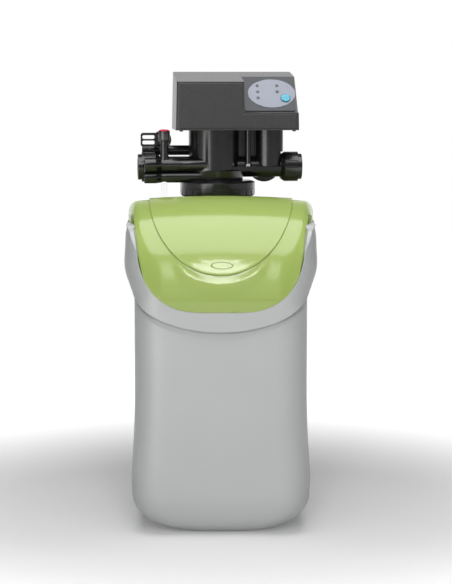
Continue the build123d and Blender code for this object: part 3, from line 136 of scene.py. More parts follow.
def wound_fibreglass():
    """Filament-wound glass fibre under resin: crossing bands a few centimetres wide show through the gloss."""
    material, tree = new_material("wound_fibreglass")
    place = add_node(tree, "ShaderNodeTexCoord").outputs["Object"]
    bands = []
    for lean in (35, -35):
        turned = add_node(tree, "ShaderNodeMapping", [("Vector", place)], Rotation=(0, math.radians(lean), 0))
        bands.append(add_node(tree, "ShaderNodeTexWave", [("Vector", turned.outputs[0])], bands_direction="Z",
                              Scale=24.0, Distortion=1.2))
    crossed = add_node(tree, "ShaderNodeMath", [(0, bands[0].outputs["Fac"]), (1, bands[1].outputs["Fac"])],
                       operation="MULTIPLY")
    tone = add_node(tree, "ShaderNodeMix", [("Factor", crossed.outputs[0])],
                    [(6, linear("#2C4560")), (7, linear("#466788"))], data_type="RGBA")
    bump = add_node(tree, "ShaderNodeBump", [("Height", crossed.outputs[0])], Strength=0.25, Distance=0.6 * MM)
    shader = add_node(tree, "ShaderNodeBsdfPrincipled", [("Base Color", tone.outputs[2]), ("Normal", bump.outputs[0])],
                      Roughness=0.25)
    add_node(tree, "ShaderNodeOutputMaterial", [("Surface", shader.outputs[0])])
    return material


def packed_beads():
    """Ion exchange resin: amber beads, drawn 1.5 mm across so that they show, each painted pale at its middle and
    darker towards its rim as painted shade where the beads meet.
    """
    material, tree = new_material("resin_beads")
    place = add_node(tree, "ShaderNodeTexCoord").outputs["Object"]
    beads = add_node(tree, "ShaderNodeTexVoronoi", [("Vector", place)], Scale=660.0)
    # Painted shade: each bead darkens from pale amber at its middle to dark amber where it meets the next
    tone = add_node(tree, "ShaderNodeMix", [("Factor", beads.outputs["Distance"])],
                    [(6, linear("#C98A3A")), (7, linear("#6E3D12"))], data_type="RGBA")
    bump = add_node(tree, "ShaderNodeBump", [("Height", beads.outputs["Distance"])], Strength=0.6, Distance=1.0 * MM,
                    invert=True)
    shader = add_node(tree, "ShaderNodeBsdfPrincipled", [("Base Color", tone.outputs[2]), ("Normal", bump.outputs[0])],
                      Roughness=0.35)
    add_node(tree, "ShaderNodeOutputMaterial", [("Surface", shader.outputs[0])])
    return material


def plated_metal(name, code, roughness, scratch):
    """A plated or turned metal: fine turning lines stretch its highlights."""
    material, tree = new_material(name)
    place = add_node(tree, "ShaderNodeTexCoord").outputs["Object"]
    drawn = add_node(tree, "ShaderNodeMapping", [("Vector", place)], Scale=(200, 200, 2500))
    lines = add_node(tree, "ShaderNodeTexNoise", [("Vector", drawn.outputs[0])], Scale=1.0, Detail=3.0)
    gloss = add_node(tree, "ShaderNodeMapRange", [("Value", lines.outputs["Fac"])],
                     To_Min=roughness - 0.08, To_Max=roughness + 0.12)
    bump = add_node(tree, "ShaderNodeBump", [("Height", lines.outputs["Fac"])], Strength=scratch, Distance=0.1 * MM)
    shader = add_node(tree, "ShaderNodeBsdfPrincipled", [("Roughness", gloss.outputs[0]), ("Normal", bump.outputs[0])],
                      Base_Color=linear(code), Metallic=1.0)
    add_node(tree, "ShaderNodeOutputMaterial", [("Surface", shader.outputs[0])])
    return material


def domed_plastic(name, low_code, highlight_code, glow):
    """A dyed clear plastic dome, with a painted highlight of pale patches where it faces the camera and a painted
    shade of deeper colour towards its rim at the foot.
    """
    material, tree = new_material(name)
    rim = add_node(tree, "ShaderNodeLayerWeight", Blend=0.4)
    place = add_node(tree, "ShaderNodeTexCoord").outputs["Object"]
    # Painted highlight: noise spreads pale patches of the highlight colour over the dome
    highlight_patches = add_node(tree, "ShaderNodeTexNoise", [("Vector", place)], Scale=160.0, Detail=1.0)
    tone = add_node(tree, "ShaderNodeMix", [("Factor", highlight_patches.outputs["Fac"])],
                    [(6, linear(low_code)), (7, linear(highlight_code))], data_type="RGBA")
    # Painted shade: towards the rim, where the dome turns from the camera, the colour goes to the deep dye colour
    shade = add_node(tree, "ShaderNodeMix", [("Factor", rim.outputs["Facing"]), (6, tone.outputs[2])],
                     [(7, linear(low_code))], data_type="RGBA")
    shader = add_node(tree, "ShaderNodeBsdfPrincipled", [("Base Color", shade.outputs[2])], Roughness=0.12, IOR=1.58,
                      Subsurface_Weight=glow, Subsurface_Scale=2.0 * MM)
    add_node(tree, "ShaderNodeOutputMaterial", [("Surface", shader.outputs[0])])
    return material


def paint_node(node, material):
    """Gives a CAD node its finish."""
    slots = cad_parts[node].data.materials
    slots.clear()
    slots.append(material)


def picked(items, kind):
    """The items of one kind, such as vertices, from what an operator gives back."""
    return [item for item in items if isinstance(item, kind)]


def slice_at(tools, faces, point, normal):
    """Cuts some faces along a plane."""
    parts = dict.fromkeys(part for face in faces for part in (face, *face.edges, *face.verts))
    bmesh.ops.bisect_plane(tools, geom=list(parts), dist=1e-6, plane_co=point, plane_no=normal)


def extrude_ring(tools, ring):
    """Extrudes a ring of edges where it is, and gives the new vertices and edges."""
    made = bmesh.ops.extrude_edge_only(tools, edges=ring)["geom"]
    return picked(made, bmesh.types.BMVert), picked(made, bmesh.types.BMEdge)


def shade_smooth(tools, angle=None):
    """Smooths all faces; edges that turn by more than the angle in degrees stay sharp."""
    for face in tools.faces:
        face.smooth = True
    if angle:
        for edge in tools.edges:
            edge.smooth = len(edge.link_faces) == 2 and edge.calc_face_angle(0) < math.radians(angle)


def object_from(mesh_tools, name, material, body):
    """Makes a finished piece from a bmesh and lets it ride on its body."""
    mesh = bpy.data.meshes.new(name)
    mesh_tools.to_mesh(mesh)
    mesh_tools.free()
    piece = bpy.data.objects.new(name, mesh)
    bpy.context.scene.collection.objects.link(piece)
    mesh.materials.append(material)
    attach(piece, body)
    return piece


def smooth_copy(node, name, material, body, bevel=0.0, angle=32, sculpt=None):
    """A merged, smooth-shaded copy of a CAD node, with its edges bevelled by some millimetres, standing for it."""
    tools = bmesh.new()
    tools.from_mesh(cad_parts[node].data)
    bmesh.ops.remove_doubles(tools, verts=tools.verts, dist=2e-6)
    bmesh.ops.dissolve_degenerate(tools, edges=tools.edges, dist=1e-6)
    if sculpt:
        sculpt(tools)
    shade_smooth(tools, angle)
    piece = object_from(tools, name, material, body)
    if bevel:
        flat = piece.modifiers.new("join_flats", "DECIMATE")
        flat.decimate_type = "DISSOLVE"
        flat.angle_limit = math.radians(0.4)
        soft = piece.modifiers.new("soft_edges", "BEVEL")
        soft.width = bevel * MM
        soft.segments = 2
        soft.limit_method = "ANGLE"
        soft.angle_limit = math.radians(angle)
        soft.harden_normals = True
        soft.use_clamp_overlap = True
    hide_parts(node)
    return piece


def part_way(value, start, end):
    """Runs evenly from 0 at the start to 1 at the end."""
    return min(max((value - start) / (end - start), 0), 1)


def ramp(value, start, end):
    """Runs smoothly from 0 at the start to 1 at the end."""
    share = part_way(value, start, end)
    return share * share * (3 - 2 * share)


def skin_of(mesh):
    """A mesh's skin, for finding the nearest place on it."""
    tools = bmesh.new()
    tools.from_mesh(mesh)
    skin = BVHTree.FromBMesh(tools)
    tools.free()
    return skin


def rim_drop(place):
    """How far the rim's upper end comes down towards the front."""
    most, start, end = 8 * MM, 0.43, 0.446
    return most * ramp(place.z, start, end) * ramp(-place.y, 0.0, 0.12)


def crowned(tools):
    """Crowns the cover's slope and lets its deck fall towards the back and the sides."""
    fall_back, fall_aside = 0.07, 3.6 * MM
    for vert in tools.verts:
        rise = CROWN - max(vert.co.y - AXIS_Y, 0) * fall_back - fall_aside * (vert.co.x / SEAM_HALF) ** 2
        if vert.co.z > AXIS_Z:
            vert.co.z = AXIS_Z + (vert.co.z - AXIS_Z) * (rise / RISE)


def slope_grid(tools):
    """Cuts the front of the slope into small squares."""
    for axis, places in ((2, range(334, 412, 2)), (0, range(-72, 78, 6))):
        for place in places:
            point, normal = Vector(), Vector()
            point[axis], normal[axis] = place * MM, 1
            near = [face for face in tools.faces
                    if any(abs(vert.co.x) < 0.08 and vert.co.y < -0.15 for vert in face.verts)]
            slice_at(tools, near, point, normal)


def seam_swell(tools, full, gone, swell):
    """Swells the slope's skin near the lid's lower seam.

    swell takes the height over the seam and gives the swelling, both in millimetres. It is whole up to
    the half width full and gone at the half width gone.
    """
    for vert in tools.verts:
        across = abs(vert.co.x)
        if vert.co.y < -0.15 and across < 0.1:
            oval = math.sqrt(1 - (across / SEAM_HALF) ** 2)
            seam = AXIS_Z + (SEAM_MIDDLE - SEAM_DEPTH * oval) * CROWN / RISE
            out = Vector((0, (vert.co.y - AXIS_Y) / REACH ** 2, (vert.co.z - AXIS_Z) / CROWN ** 2)).normalized()
            vert.co += out * swell((vert.co.z - seam) / MM) * (1 - ramp(across, full, gone)) * MM


def lid_form(tools):
    """The lid's form: crowned, its lower edge swelling out and rolling in at the seam."""
    slope_grid(tools)
    crowned(tools)
    seam_swell(tools, 0.036, 0.056, lambda height: 0.5 * (1 - part_way(height, 2, 14)) * part_way(height, -2, 2))


def cover_form(tools):
    """The cover's form: crowned, swelling softly under the lid's seam, and let in close to the cabinet's rim."""
    cabinet = skin_of(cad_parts["cabinet_body"].data)
    touching, gap, reach = 0.6 * MM, 0.1 * MM, 4 * MM
    slope_grid(tools)
    fitted = [(vert, vert.co.z) for vert in tools.verts
              if cabinet.find_nearest(vert.co)[3] < touching
              or abs(vert.co.x) > 0.124 and abs(vert.co.z - LEDGE) < 0.3 * MM]
    crowned(tools)
    seam_swell(tools, 0.046, 0.070, lambda height: 1.2 * part_way(-height, 3, 12) * (1 - ramp(-height, 12, 34)))
    for vert, height in fitted:
        if height > LEDGE - 0.2 * MM:
            vert.co.z = height
            vert.co.z -= rim_drop(vert.co)
            continue
        spot, _, _, far = cabinet.find_nearest(vert.co)
        if gap < far < reach:
            vert.co += (spot - vert.co) * (1 - gap / far)


def cabinet_form(tools):
    """The cabinet's form: its rim comes down and in to the cover, and a groove runs under the shoulder band."""
    cover = skin_of(bpy.data.objects["cover_shell"].data)
    for place in range(288, 362, 2):
        low = [face for face in tools.faces if any(0.27 < vert.co.z < 0.37 for vert in face.verts)]
        slice_at(tools, low, (0, 0, place * MM), (0, 0, 1))
    tools.normal_update()
    # The band's lower edge hangs in an arc across the front, and the groove ends before the band's own sides
    edge_ends, edge_sag, edge_half = 0.357, 0.064, 0.127
    groove_deep, groove_high = 3.3 * MM, 10 * MM
    for vert in tools.verts:
        aside = abs(vert.co.x)
        below = edge_ends - edge_sag * math.sqrt(1 - min(aside / edge_half, 1) ** 2) - vert.co.z
        outward = vert.normal.y * vert.co.y + vert.normal.x * vert.co.x > 0
        if 0.2 * MM < below < groove_high and outward and vert.co.y < -0.05 and aside < 0.1235:
            depth = part_way(below, 0, 1.0 * MM) * (1 - ramp(below, 2.5 * MM, groove_high))
            depth *= 1 - ramp(aside, 0.105, 0.122)
            vert.co -= Vector((vert.normal.x, vert.normal.y, 0)) * groove_deep * depth
    gap, reach = 0.3 * MM, 12 * MM
    for vert in tools.verts:
        if vert.co.z > 0.40:
            inner = vert.normal.x * vert.co.x < 0.01 * abs(vert.co.x) and abs(vert.co.x) > 0.09
            vert.co.z -= rim_drop(vert.co)
            spot, _, _, far = cover.find_nearest(vert.co)
            if inner and gap < far < reach:
                step = (spot - vert.co) * (1 - gap / far)
                vert.co += Vector((step.x, step.y, 0))


def let_back(height):
    """How far the head's front is let back at a height, to leave room for the open lid."""
    return 3.5 * MM * (HEAD_TOP - height) / (HEAD_TOP - HEAD_LOW)


def head_form(tools):
    """The head's form: a little deeper, its front let back from the open lid, its recess wider and lower."""
    tools.transform(NECK.inverted())
    for vert in tools.verts:
        place = vert.co
        if place.z < HEAD_LOW + 7.5 * MM:
            place.z -= 3.0 * MM
        if place.y < FRONT_Y + 10 * MM and place.z < HEAD_TOP:
            place.y += let_back(place.z)
        if place.x > 0.0415 and abs(place.z - RECESS_LEDGE) < 3.5 * MM:
            place.z -= RECESS_LOWER
            if place.y > -0.0455:
                place.y -= RECESS_FORWARD
        if 0.040 < place.x < 0.0475 and place.z > RECESS_LEDGE - 10 * MM:
            place.x -= RECESS_WIDER
    tools.transform(NECK)


def display_form(tools):
    """The display frame's form: wider to the left and lower."""
    tools.transform(NECK.inverted())
    for vert in tools.verts:
        if vert.co.x < 0.050:
            vert.co.x -= RECESS_WIDER
        if vert.co.z < RECESS_LEDGE + 5.5 * MM:
            vert.co -= Vector((0, RECESS_FORWARD, RECESS_LOWER))
    tools.transform(NECK)


def button_form(tools):
    """The button's dome, a quarter wider about its own middle."""
    lean = NECK @ Matrix.Rotation(PANEL_LEAN, 4, "X")
    tools.transform(lean.inverted())
    middle = sum((vert.co for vert in tools.verts), Vector()) / len(tools.verts)
    for vert in tools.verts:
        vert.co.x = middle.x + (vert.co.x - middle.x) * 1.25
        vert.co.y = middle.y + (vert.co.y - middle.y) * 1.25
    tools.transform(lean)


def lid_oval(surface, length, material):
    """A plain oval ring, laid on the lid's skin from the front."""
    eye = Vector((0, -2.895, 0.650))
    middle = Vector((0.0017, -0.2, 0.3860))
    flatness, high, sunk = 0.32, 0.9 * MM, 0.1 * MM
    tools = bmesh.new()
    bmesh.ops.create_circle(tools, segments=64, radius=length / 2)
    ring = tools.edges[:]
    for scale, height in ((0.965, high), (0.90, high), (0.865, 0.0)):
        verts, ring = extrude_ring(tools, ring)
        for vert in verts:
            flat = Vector((vert.co.x, vert.co.y, 0)).normalized() * length / 2 * scale
            vert.co = Vector((flat.x, flat.y, height))
    for vert in tools.verts:
        aim = middle + Vector((vert.co.x, 0, vert.co.y * flatness))
        hit, normal, _, _ = surface.ray_cast(eye, (aim - eye).normalized())
        vert.co = hit + normal * (vert.co.z - sunk)
    shade_smooth(tools)
    bmesh.ops.recalc_face_normals(tools, faces=tools.faces)
    oval = object_from(tools, "lid_oval", material, "salt_lid")
    shell = oval.modifiers.new("wall", "SOLIDIFY")
    shell.thickness = 0.3 * MM
    shell.offset = 0


def cylinder_web(material):
    """A moulded web that joins the main and the meter cylinder, with a rib down its front."""
    tools = bmesh.new()
    for low, high in (((23, 2, 510.5), (62, 14, 569.5)), ((40, -2, 510.5), (43, 3, 569.5))):
        made = bmesh.ops.create_cube(tools, size=1)["verts"]
        size = [(end - start) * MM for start, end in zip(low, high)]
        bmesh.ops.scale(tools, vec=size, verts=made)
        bmesh.ops.translate(tools, vec=[(end + start) / 2 * MM for start, end in zip(low, high)], verts=made)
    bmesh.ops.bevel(tools, geom=tools.edges[:], offset=0.7 * MM, segments=2, profile=0.5, affect="EDGES", material=-1)
    bmesh.ops.transform(tools, matrix=NECK, verts=tools.verts)
    object_from(tools, "cylinder_web", material, "cabinet")


def cluster_ends(material):
    """The injector and the brine elbow step forward to ends that pass in front of the left nut."""
    # Each end is a row of round stations in millimetres: across, depth, height and radius
    injector = ((-88, -26.5, 514.5, 10.3), (-90.4, -27.5, 514.5, 10.6), (-96, -34.0, 514.5, 11.0),
                (-98, -34.5, 514.5, 11.2), (-114.2, -34.5, 514.5, 11.2), (-115, -34.5, 514.5, 10.4),
                (-115, -34.5, 514.5, 6.5), (-113.8, -34.5, 514.5, 6.0), (-113.8, -34.5, 514.5, 0))
    elbow = ((-88, -21.8, 495.6, 8.8), (-90.4, -22.6, 495.6, 9.0), (-96, -29.0, 495.4, 9.1),
             (-98, -29.5, 495.2, 9.1), (-114.2, -29.5, 495.2, 9.1), (-115, -29.5, 495.2, 8.3),
             (-115, -29.5, 495.2, 5.5), (-113.8, -29.5, 495.2, 5.0), (-113.8, -29.5, 495.2, 0))
    tools = bmesh.new()
    for stations in (injector, elbow):
        *start, width = stations[0]
        middle = Vector(start) * MM
        verts = bmesh.ops.create_circle(tools, segments=48, radius=width * MM)["verts"]
        bmesh.ops.rotate(tools, verts=verts, matrix=Matrix.Rotation(math.radians(90), 3, "Y"))
        bmesh.ops.translate(tools, verts=verts, vec=middle)
        ring = list(dict.fromkeys(edge for vert in verts for edge in vert.link_edges))
        for *spot, radius in stations[1:]:
            verts, ring = extrude_ring(tools, ring)
            for vert in verts:
                vert.co = Vector(spot) * MM + (vert.co - middle) * (radius / width)
            middle, width = Vector(spot) * MM, radius
    bmesh.ops.remove_doubles(tools, verts=tools.verts, dist=1e-6)
    shade_smooth(tools, 40)
    bmesh.ops.recalc_face_normals(tools, faces=tools.faces)
    bmesh.ops.transform(tools, matrix=NECK, verts=tools.verts)
    object_from(tools, "cluster_ends", material, "cabinet")


def head_fascia(margin, proud, material):
    """One thin plate on the head's leaning front, notched for the display."""
    low, high, notch = HEAD_LOW + margin, 0.6385, 0.594 - margin * 0.6
    left, right, inner = -0.0675 + margin * 1.6, 0.1204 - margin * 1.3, 0.036 - margin * 0.6
    taper = 0.6 * MM
    corners = ((left, low), (right, low), (right - taper, notch), (inner, notch), (inner, high),
               (left + 2 * taper, high))
    tools = bmesh.new()
    verts = [tools.verts.new((across, FRONT_Y + (height - FRONT_Z) * FRONT_SLOPE + let_back(height), height))
             for across, height in corners]
    plate = tools.faces.new(verts)
    front = picked(bmesh.ops.extrude_face_region(tools, geom=[plate])["geom"], bmesh.types.BMVert)
    bmesh.ops.translate(tools, verts=front, vec=(0, -proud, 0))
    bmesh.ops.recalc_face_normals(tools, faces=tools.faces)
    rim = [edge for edge in tools.edges if all(vert in front for vert in edge.verts)]
    bmesh.ops.bevel(tools, geom=rim, offset=0.6 * MM, segments=2, profile=0.5, affect="EDGES", material=-1)
    bmesh.ops.transform(tools, matrix=NECK, verts=tools.verts)
    object_from(tools, "head_fascia", material, "head")


def oval_film(material):
    """The pale film is one oval leaf; the lenses and the button stand up through it."""
    half_length, half_width, lower = 36.6 * MM, 27.0 * MM, 2.2 * MM
    lean = NECK @ Matrix.Rotation(PANEL_LEAN, 4, "X")
    seat = [lean.inverted() @ vert.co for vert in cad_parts["oval_face"].data.vertices]
    low, high = [[pick(spot[axis] for spot in seat) for axis in range(3)] for pick in (min, max)]
    tools = bmesh.new()
    bmesh.ops.create_circle(tools, cap_ends=True, segments=96, radius=1)
    top = picked(bmesh.ops.extrude_face_region(tools, geom=tools.faces[:])["geom"], bmesh.types.BMVert)
    bmesh.ops.translate(tools, verts=top, vec=(0, 0, 1))
    bmesh.ops.scale(tools, verts=tools.verts, vec=(half_length, half_width, high[2] - low[2]))
    bmesh.ops.translate(tools, verts=tools.verts,
                        vec=((low[0] + high[0]) / 2, (low[1] + high[1]) / 2 - lower, low[2]))
    bmesh.ops.transform(tools, matrix=lean, verts=tools.verts)
    bmesh.ops.recalc_face_normals(tools, faces=tools.faces)
    film = object_from(tools, "oval_film", material, "head")
    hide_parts("oval_face")


def indicator_bezels(width, material):
    """A thin ring round each lens and a wider one round the button."""
    length, breadth, up_panel, proud = 63 * MM, 42 * MM, 32.2 * MM, 2.1 * MM
    lens_radius, button_radius = 1.8 * MM, 6.9 * MM
    foot = Vector((0.0813, FRONT_Y + 0.021, RECESS_LEDGE))
    panel_middle = foot + Vector((0, math.cos(PANEL_LEAN), math.sin(PANEL_LEAN))) * up_panel
    tilt = NECK @ Matrix.Translation(panel_middle) @ Matrix.Rotation(PANEL_LEAN, 4, "X")
    # Each row is a share of the oval's length and breadth from its middle
    spots = [(side * length, drop * breadth, lens_radius, width)
             for side, drops in ((-0.34, (0.30, 0.02, -0.26)), (0.14, (0.30, 0.02))) for drop in drops]
    spots.append((0.33 * length, -0.28 * breadth, button_radius, width * 1.4))
    tools = bmesh.new()
    for across, up, radius, thick in spots:
        start = radius + 0.4 * MM
        made = bmesh.ops.create_circle(tools, segments=6, radius=thick / 2)["verts"]
        edges = list(dict.fromkeys(edge for vert in made for edge in vert.link_edges))
        turned = Matrix.Translation((start + thick / 2, 0, 0)) @ Matrix.Rotation(math.radians(90), 4, "X")
        bmesh.ops.transform(tools, matrix=turned, verts=made)
        bmesh.ops.spin(tools, geom=edges + made, cent=(0, 0, 0), axis=(0, 0, 1), angle=math.tau, steps=28,
                       use_merge=True, use_duplicate=False)
        ring = [vert for vert in tools.verts
                if abs(vert.co.z) <= thick and vert.co.length < start + 2 * thick and not vert.tag]
        bmesh.ops.translate(tools, verts=ring, vec=(across, up, proud))
        for vert in ring:
            vert.tag = True
    bmesh.ops.transform(tools, matrix=tilt, verts=tools.verts)
    shade_smooth(tools)
    bmesh.ops.recalc_face_normals(tools, faces=tools.faces)
    object_from(tools, "indicator_bezels", material, "head")


class StageSettings(bpy.types.PropertyGroup):
    """Camera and lamps of the studio."""
    camera_distance: FloatProperty(name="Camera distance", description="From the cabinet's middle to the camera",
                                   default=2.895, unit="LENGTH")
    camera_height: FloatProperty(name="Camera height", description="Above the floor", default=0.650, unit="LENGTH")
    camera_pitch: FloatProperty(name="Camera pitch", description="Downwards from level", default=math.radians(6.38),
                                subtype="ANGLE")
    overhead: FloatProperty(name="Overhead softbox", description="Power of the softbox over the lid", default=13.0,
                            unit="POWER")
    front: FloatProperty(name="Front fill", description="Power of the fill from the camera's side", default=27.0,
                         unit="POWER")
    left: FloatProperty(name="Left sheen", description="Power of the panel that shows in the gloss from the left",
                        default=6.5, unit="POWER")
    sheen: FloatProperty(name="Front sheen", description="Power of the panel that shows in the gloss from the front",
                         default=5.0, unit="POWER")
    sides: FloatProperty(name="Side strips", description="Power of each strip beside the cabinet", default=1.2,
                         unit="POWER")


class TrimSettings(bpy.types.PropertyGroup):
    """Sizes of the added trim."""
    fascia_proud: FloatProperty(name="Fascia thickness", description="How far the head's fascia stands proud",
                                default=0.9 * MM, unit="LENGTH")
    fascia_margin: FloatProperty(name="Fascia margin", description="Border left round the fascia", default=3.0 * MM,
                                 unit="LENGTH")
    oval_length: FloatProperty(name="Oval length", description="Length of the plain oval on the lid",
                               default=32 * MM, unit="LENGTH")
    bezel_width: FloatProperty(name="Bezel width", description="Ring round each indicator", default=0.5 * MM,
                               unit="LENGTH")


def set_camera(scene, settings):
    """Places the camera at the photograph's angle."""
    camera = bpy.data.objects.new("camera", bpy.data.cameras.new("camera"))
    scene.collection.objects.link(camera)
    camera.data.lens = 119.3
    camera.data.sensor_width = 36
    camera.data.clip_end = 50
    camera.location = (0, -settings.camera_distance, settings.camera_height)
    camera.rotation_euler = (math.radians(90) - settings.camera_pitch, 0, math.radians(-0.154))
    scene.camera = camera


def lay_floor(scene):
    """Lays the floor, seamless studio paper: matt white that takes the object's soft shadow."""
    tools = bmesh.new()
    bmesh.ops.create_grid(tools, x_segments=1, y_segments=1, size=8)
    mesh = bpy.data.meshes.new("floor")
    tools.to_mesh(mesh)
    tools.free()
    floor = bpy.data.objects.new("floor", mesh)
    scene.collection.objects.link(floor)
    material, tree = new_material("seamless_paper")
    place = add_node(tree, "ShaderNodeTexCoord").outputs["Object"]
    fibres = add_node(tree, "ShaderNodeTexNoise", [("Vector", place)], Scale=700.0, Detail=2.0)
    bump = add_node(tree, "ShaderNodeBump", [("Height", fibres.outputs["Fac"])], Strength=0.05, Distance=0.2 * MM)
    paper = add_node(tree, "ShaderNodeBsdfDiffuse", [("Normal", bump.outputs[0])], Color=(0.80, 0.80, 0.80, 1))
    path = add_node(tree, "ShaderNodeLightPath").outputs
    seen = add_node(tree, "ShaderNodeMath", [(0, path["Is Camera Ray"]), (1, path["Is Glossy Ray"])],
                    operation="MAXIMUM")
    # Away from the object the paper runs out into white
    away = add_node(tree, "ShaderNodeVectorMath", [("Vector", place)], operation="LENGTH")
    white = add_node(tree, "ShaderNodeMapRange", [("Value", away.outputs["Value"])], interpolation_type="SMOOTHSTEP",
                     From_Min=0.3, From_Max=1.0, To_Min=0.15, To_Max=1.0)
    lift = add_node(tree, "ShaderNodeMath", [(0, seen.outputs[0]), (1, white.outputs[0])], operation="MULTIPLY")
    glow = add_node(tree, "ShaderNodeEmission", [("Strength", lift.outputs[0])])
    both = add_node(tree, "ShaderNodeAddShader", [(0, paper.outputs[0]), (1, glow.outputs[0])])
    add_node(tree, "ShaderNodeOutputMaterial", [("Surface", both.outputs[0])])
    mesh.materials.append(material)


def light_studio(scene):
    """Makes the studio's walls: white behind the object and dim on the camera's side."""
    world = bpy.data.worlds.new("studio")
    scene.world = world
    world.use_nodes = True
    tree = world.node_tree
    tree.nodes.clear()
    path = add_node(tree, "ShaderNodeLightPath").outputs
    way = add_node(tree, "ShaderNodeTexCoord").outputs["Generated"]
    apart = add_node(tree, "ShaderNodeSeparateXYZ", [("Vector", way)])
    depth = add_node(tree, "ShaderNodeMapRange", [("Value", apart.outputs["Y"])], interpolation_type="SMOOTHSTEP",
                     From_Min=0.72, From_Max=1.0, To_Min=0.12, To_Max=1.0)
    clear = add_node(tree, "ShaderNodeMath", [(0, path["Is Camera Ray"]), (1, path["Is Transmission Ray"])],
                     operation="MAXIMUM")
    shown = add_node(tree, "ShaderNodeMath", [(0, depth.outputs[0]), (1, clear.outputs[0])], operation="MAXIMUM")
    soft = add_node(tree, "ShaderNodeMath", [(0, path["Is Diffuse Ray"])], [(1, 0.5)], operation="MULTIPLY")
    level = add_node(tree, "ShaderNodeMath", [(0, shown.outputs[0]), (1, soft.outputs[0])], operation="SUBTRACT",
                     use_clamp=True)
    back = add_node(tree, "ShaderNodeBackground", [("Strength", level.outputs[0])], Color=(1, 1, 1, 1))
    add_node(tree, "ShaderNodeOutputWorld", [("Surface", back.outputs[0])])


def hang_lamps(scene, settings):
    """Hangs the softboxes, panels and strips: place, size, turn in degrees and power of each."""
    lamps = (("overhead", (0, -0.395, 1.50), (1.06, 1.16), (0, 0, 0), settings.overhead),
             ("front", (0, -2.3, 1.15), (0.9, 1.3), (74, 0, 0), settings.front),
             ("front_sheen", (0, -1.83, 1.70), (0.20, 0.58), (51, 0, 0), settings.sheen),
             ("left_sheen", (-0.88, -1.32, 0.27), (0.95, 0.5), (88, 0, -34), settings.left),
             ("left_strip", (-0.80, 1.30, 0.55), (0.5, 1.3), (90, 0, -148), settings.sides),
             ("right_strip", (0.80, 1.30, 0.55), (0.5, 1.3), (90, 0, 148), settings.sides))
    for name, spot, size, turn, power in lamps:
        lamp = bpy.data.lights.new(name, "AREA")
        lamp.shape = "RECTANGLE"
        lamp.size, lamp.size_y = size
        lamp.energy = power
        holder = bpy.data.objects.new(name, lamp)
        holder.location = spot
        holder.rotation_euler = [math.radians(part) for part in turn]
        # The fill lights without showing in the gloss, and the sheen panels show there without lighting
        holder.visible_glossy = name != "front"
        holder.visible_diffuse = not name.endswith("sheen")
        scene.collection.objects.link(holder)


class SOFTENER_OT_stage(bpy.types.Operator):
    """Sets up the pale floor, the camera and the soft lamps"""
    bl_idname = "softener.stage"
    bl_label = "Stage"

    def execute(self, context):
        settings = context.scene.softener_stage
        context.scene.view_settings.view_transform = "Standard"
        set_camera(context.scene, settings)
        lay_floor(context.scene)
        light_studio(context.scene)
        hang_lamps(context.scene, settings)
        return {"FINISHED"}


class SOFTENER_OT_cabinet(bpy.types.Operator):
    """Smooths and finishes the cabinet, its cover and the salt lid"""
    bl_idname = "softener.cabinet"
    bl_label = "Cabinet and lid"

    def execute(self, context):
        # Blow-moulded polyethylene: dense pale grey skin with a faint orange peel and a satin sheen
        grey = moulded_finish("blow_moulded_polyethylene", "#C0C2C2", "#C6C8C8", 0.42, 0.05, 1.4, 0.06, edge=1.2 * MM)
        # Injection-moulded ABS, polished mould: clean colour with a clear, slightly wavy gloss
        green = moulded_finish("polished_green_abs", "#A1B75F", "#A7BD66", 0.19, 0.03, 3.0, 0.02, coat=0.25)
        smooth_copy("top_cover", "cover_shell", green, "cabinet", sculpt=cover_form)
        smooth_copy("cabinet_body", "cabinet_shell", grey, "cabinet", sculpt=cabinet_form)
        lid = smooth_copy("salt_lid", "lid_shell", green, "salt_lid", sculpt=lid_form)
        lid_oval(skin_of(lid.data), context.scene.softener_trim.oval_length, green)
        return {"FINISHED"}


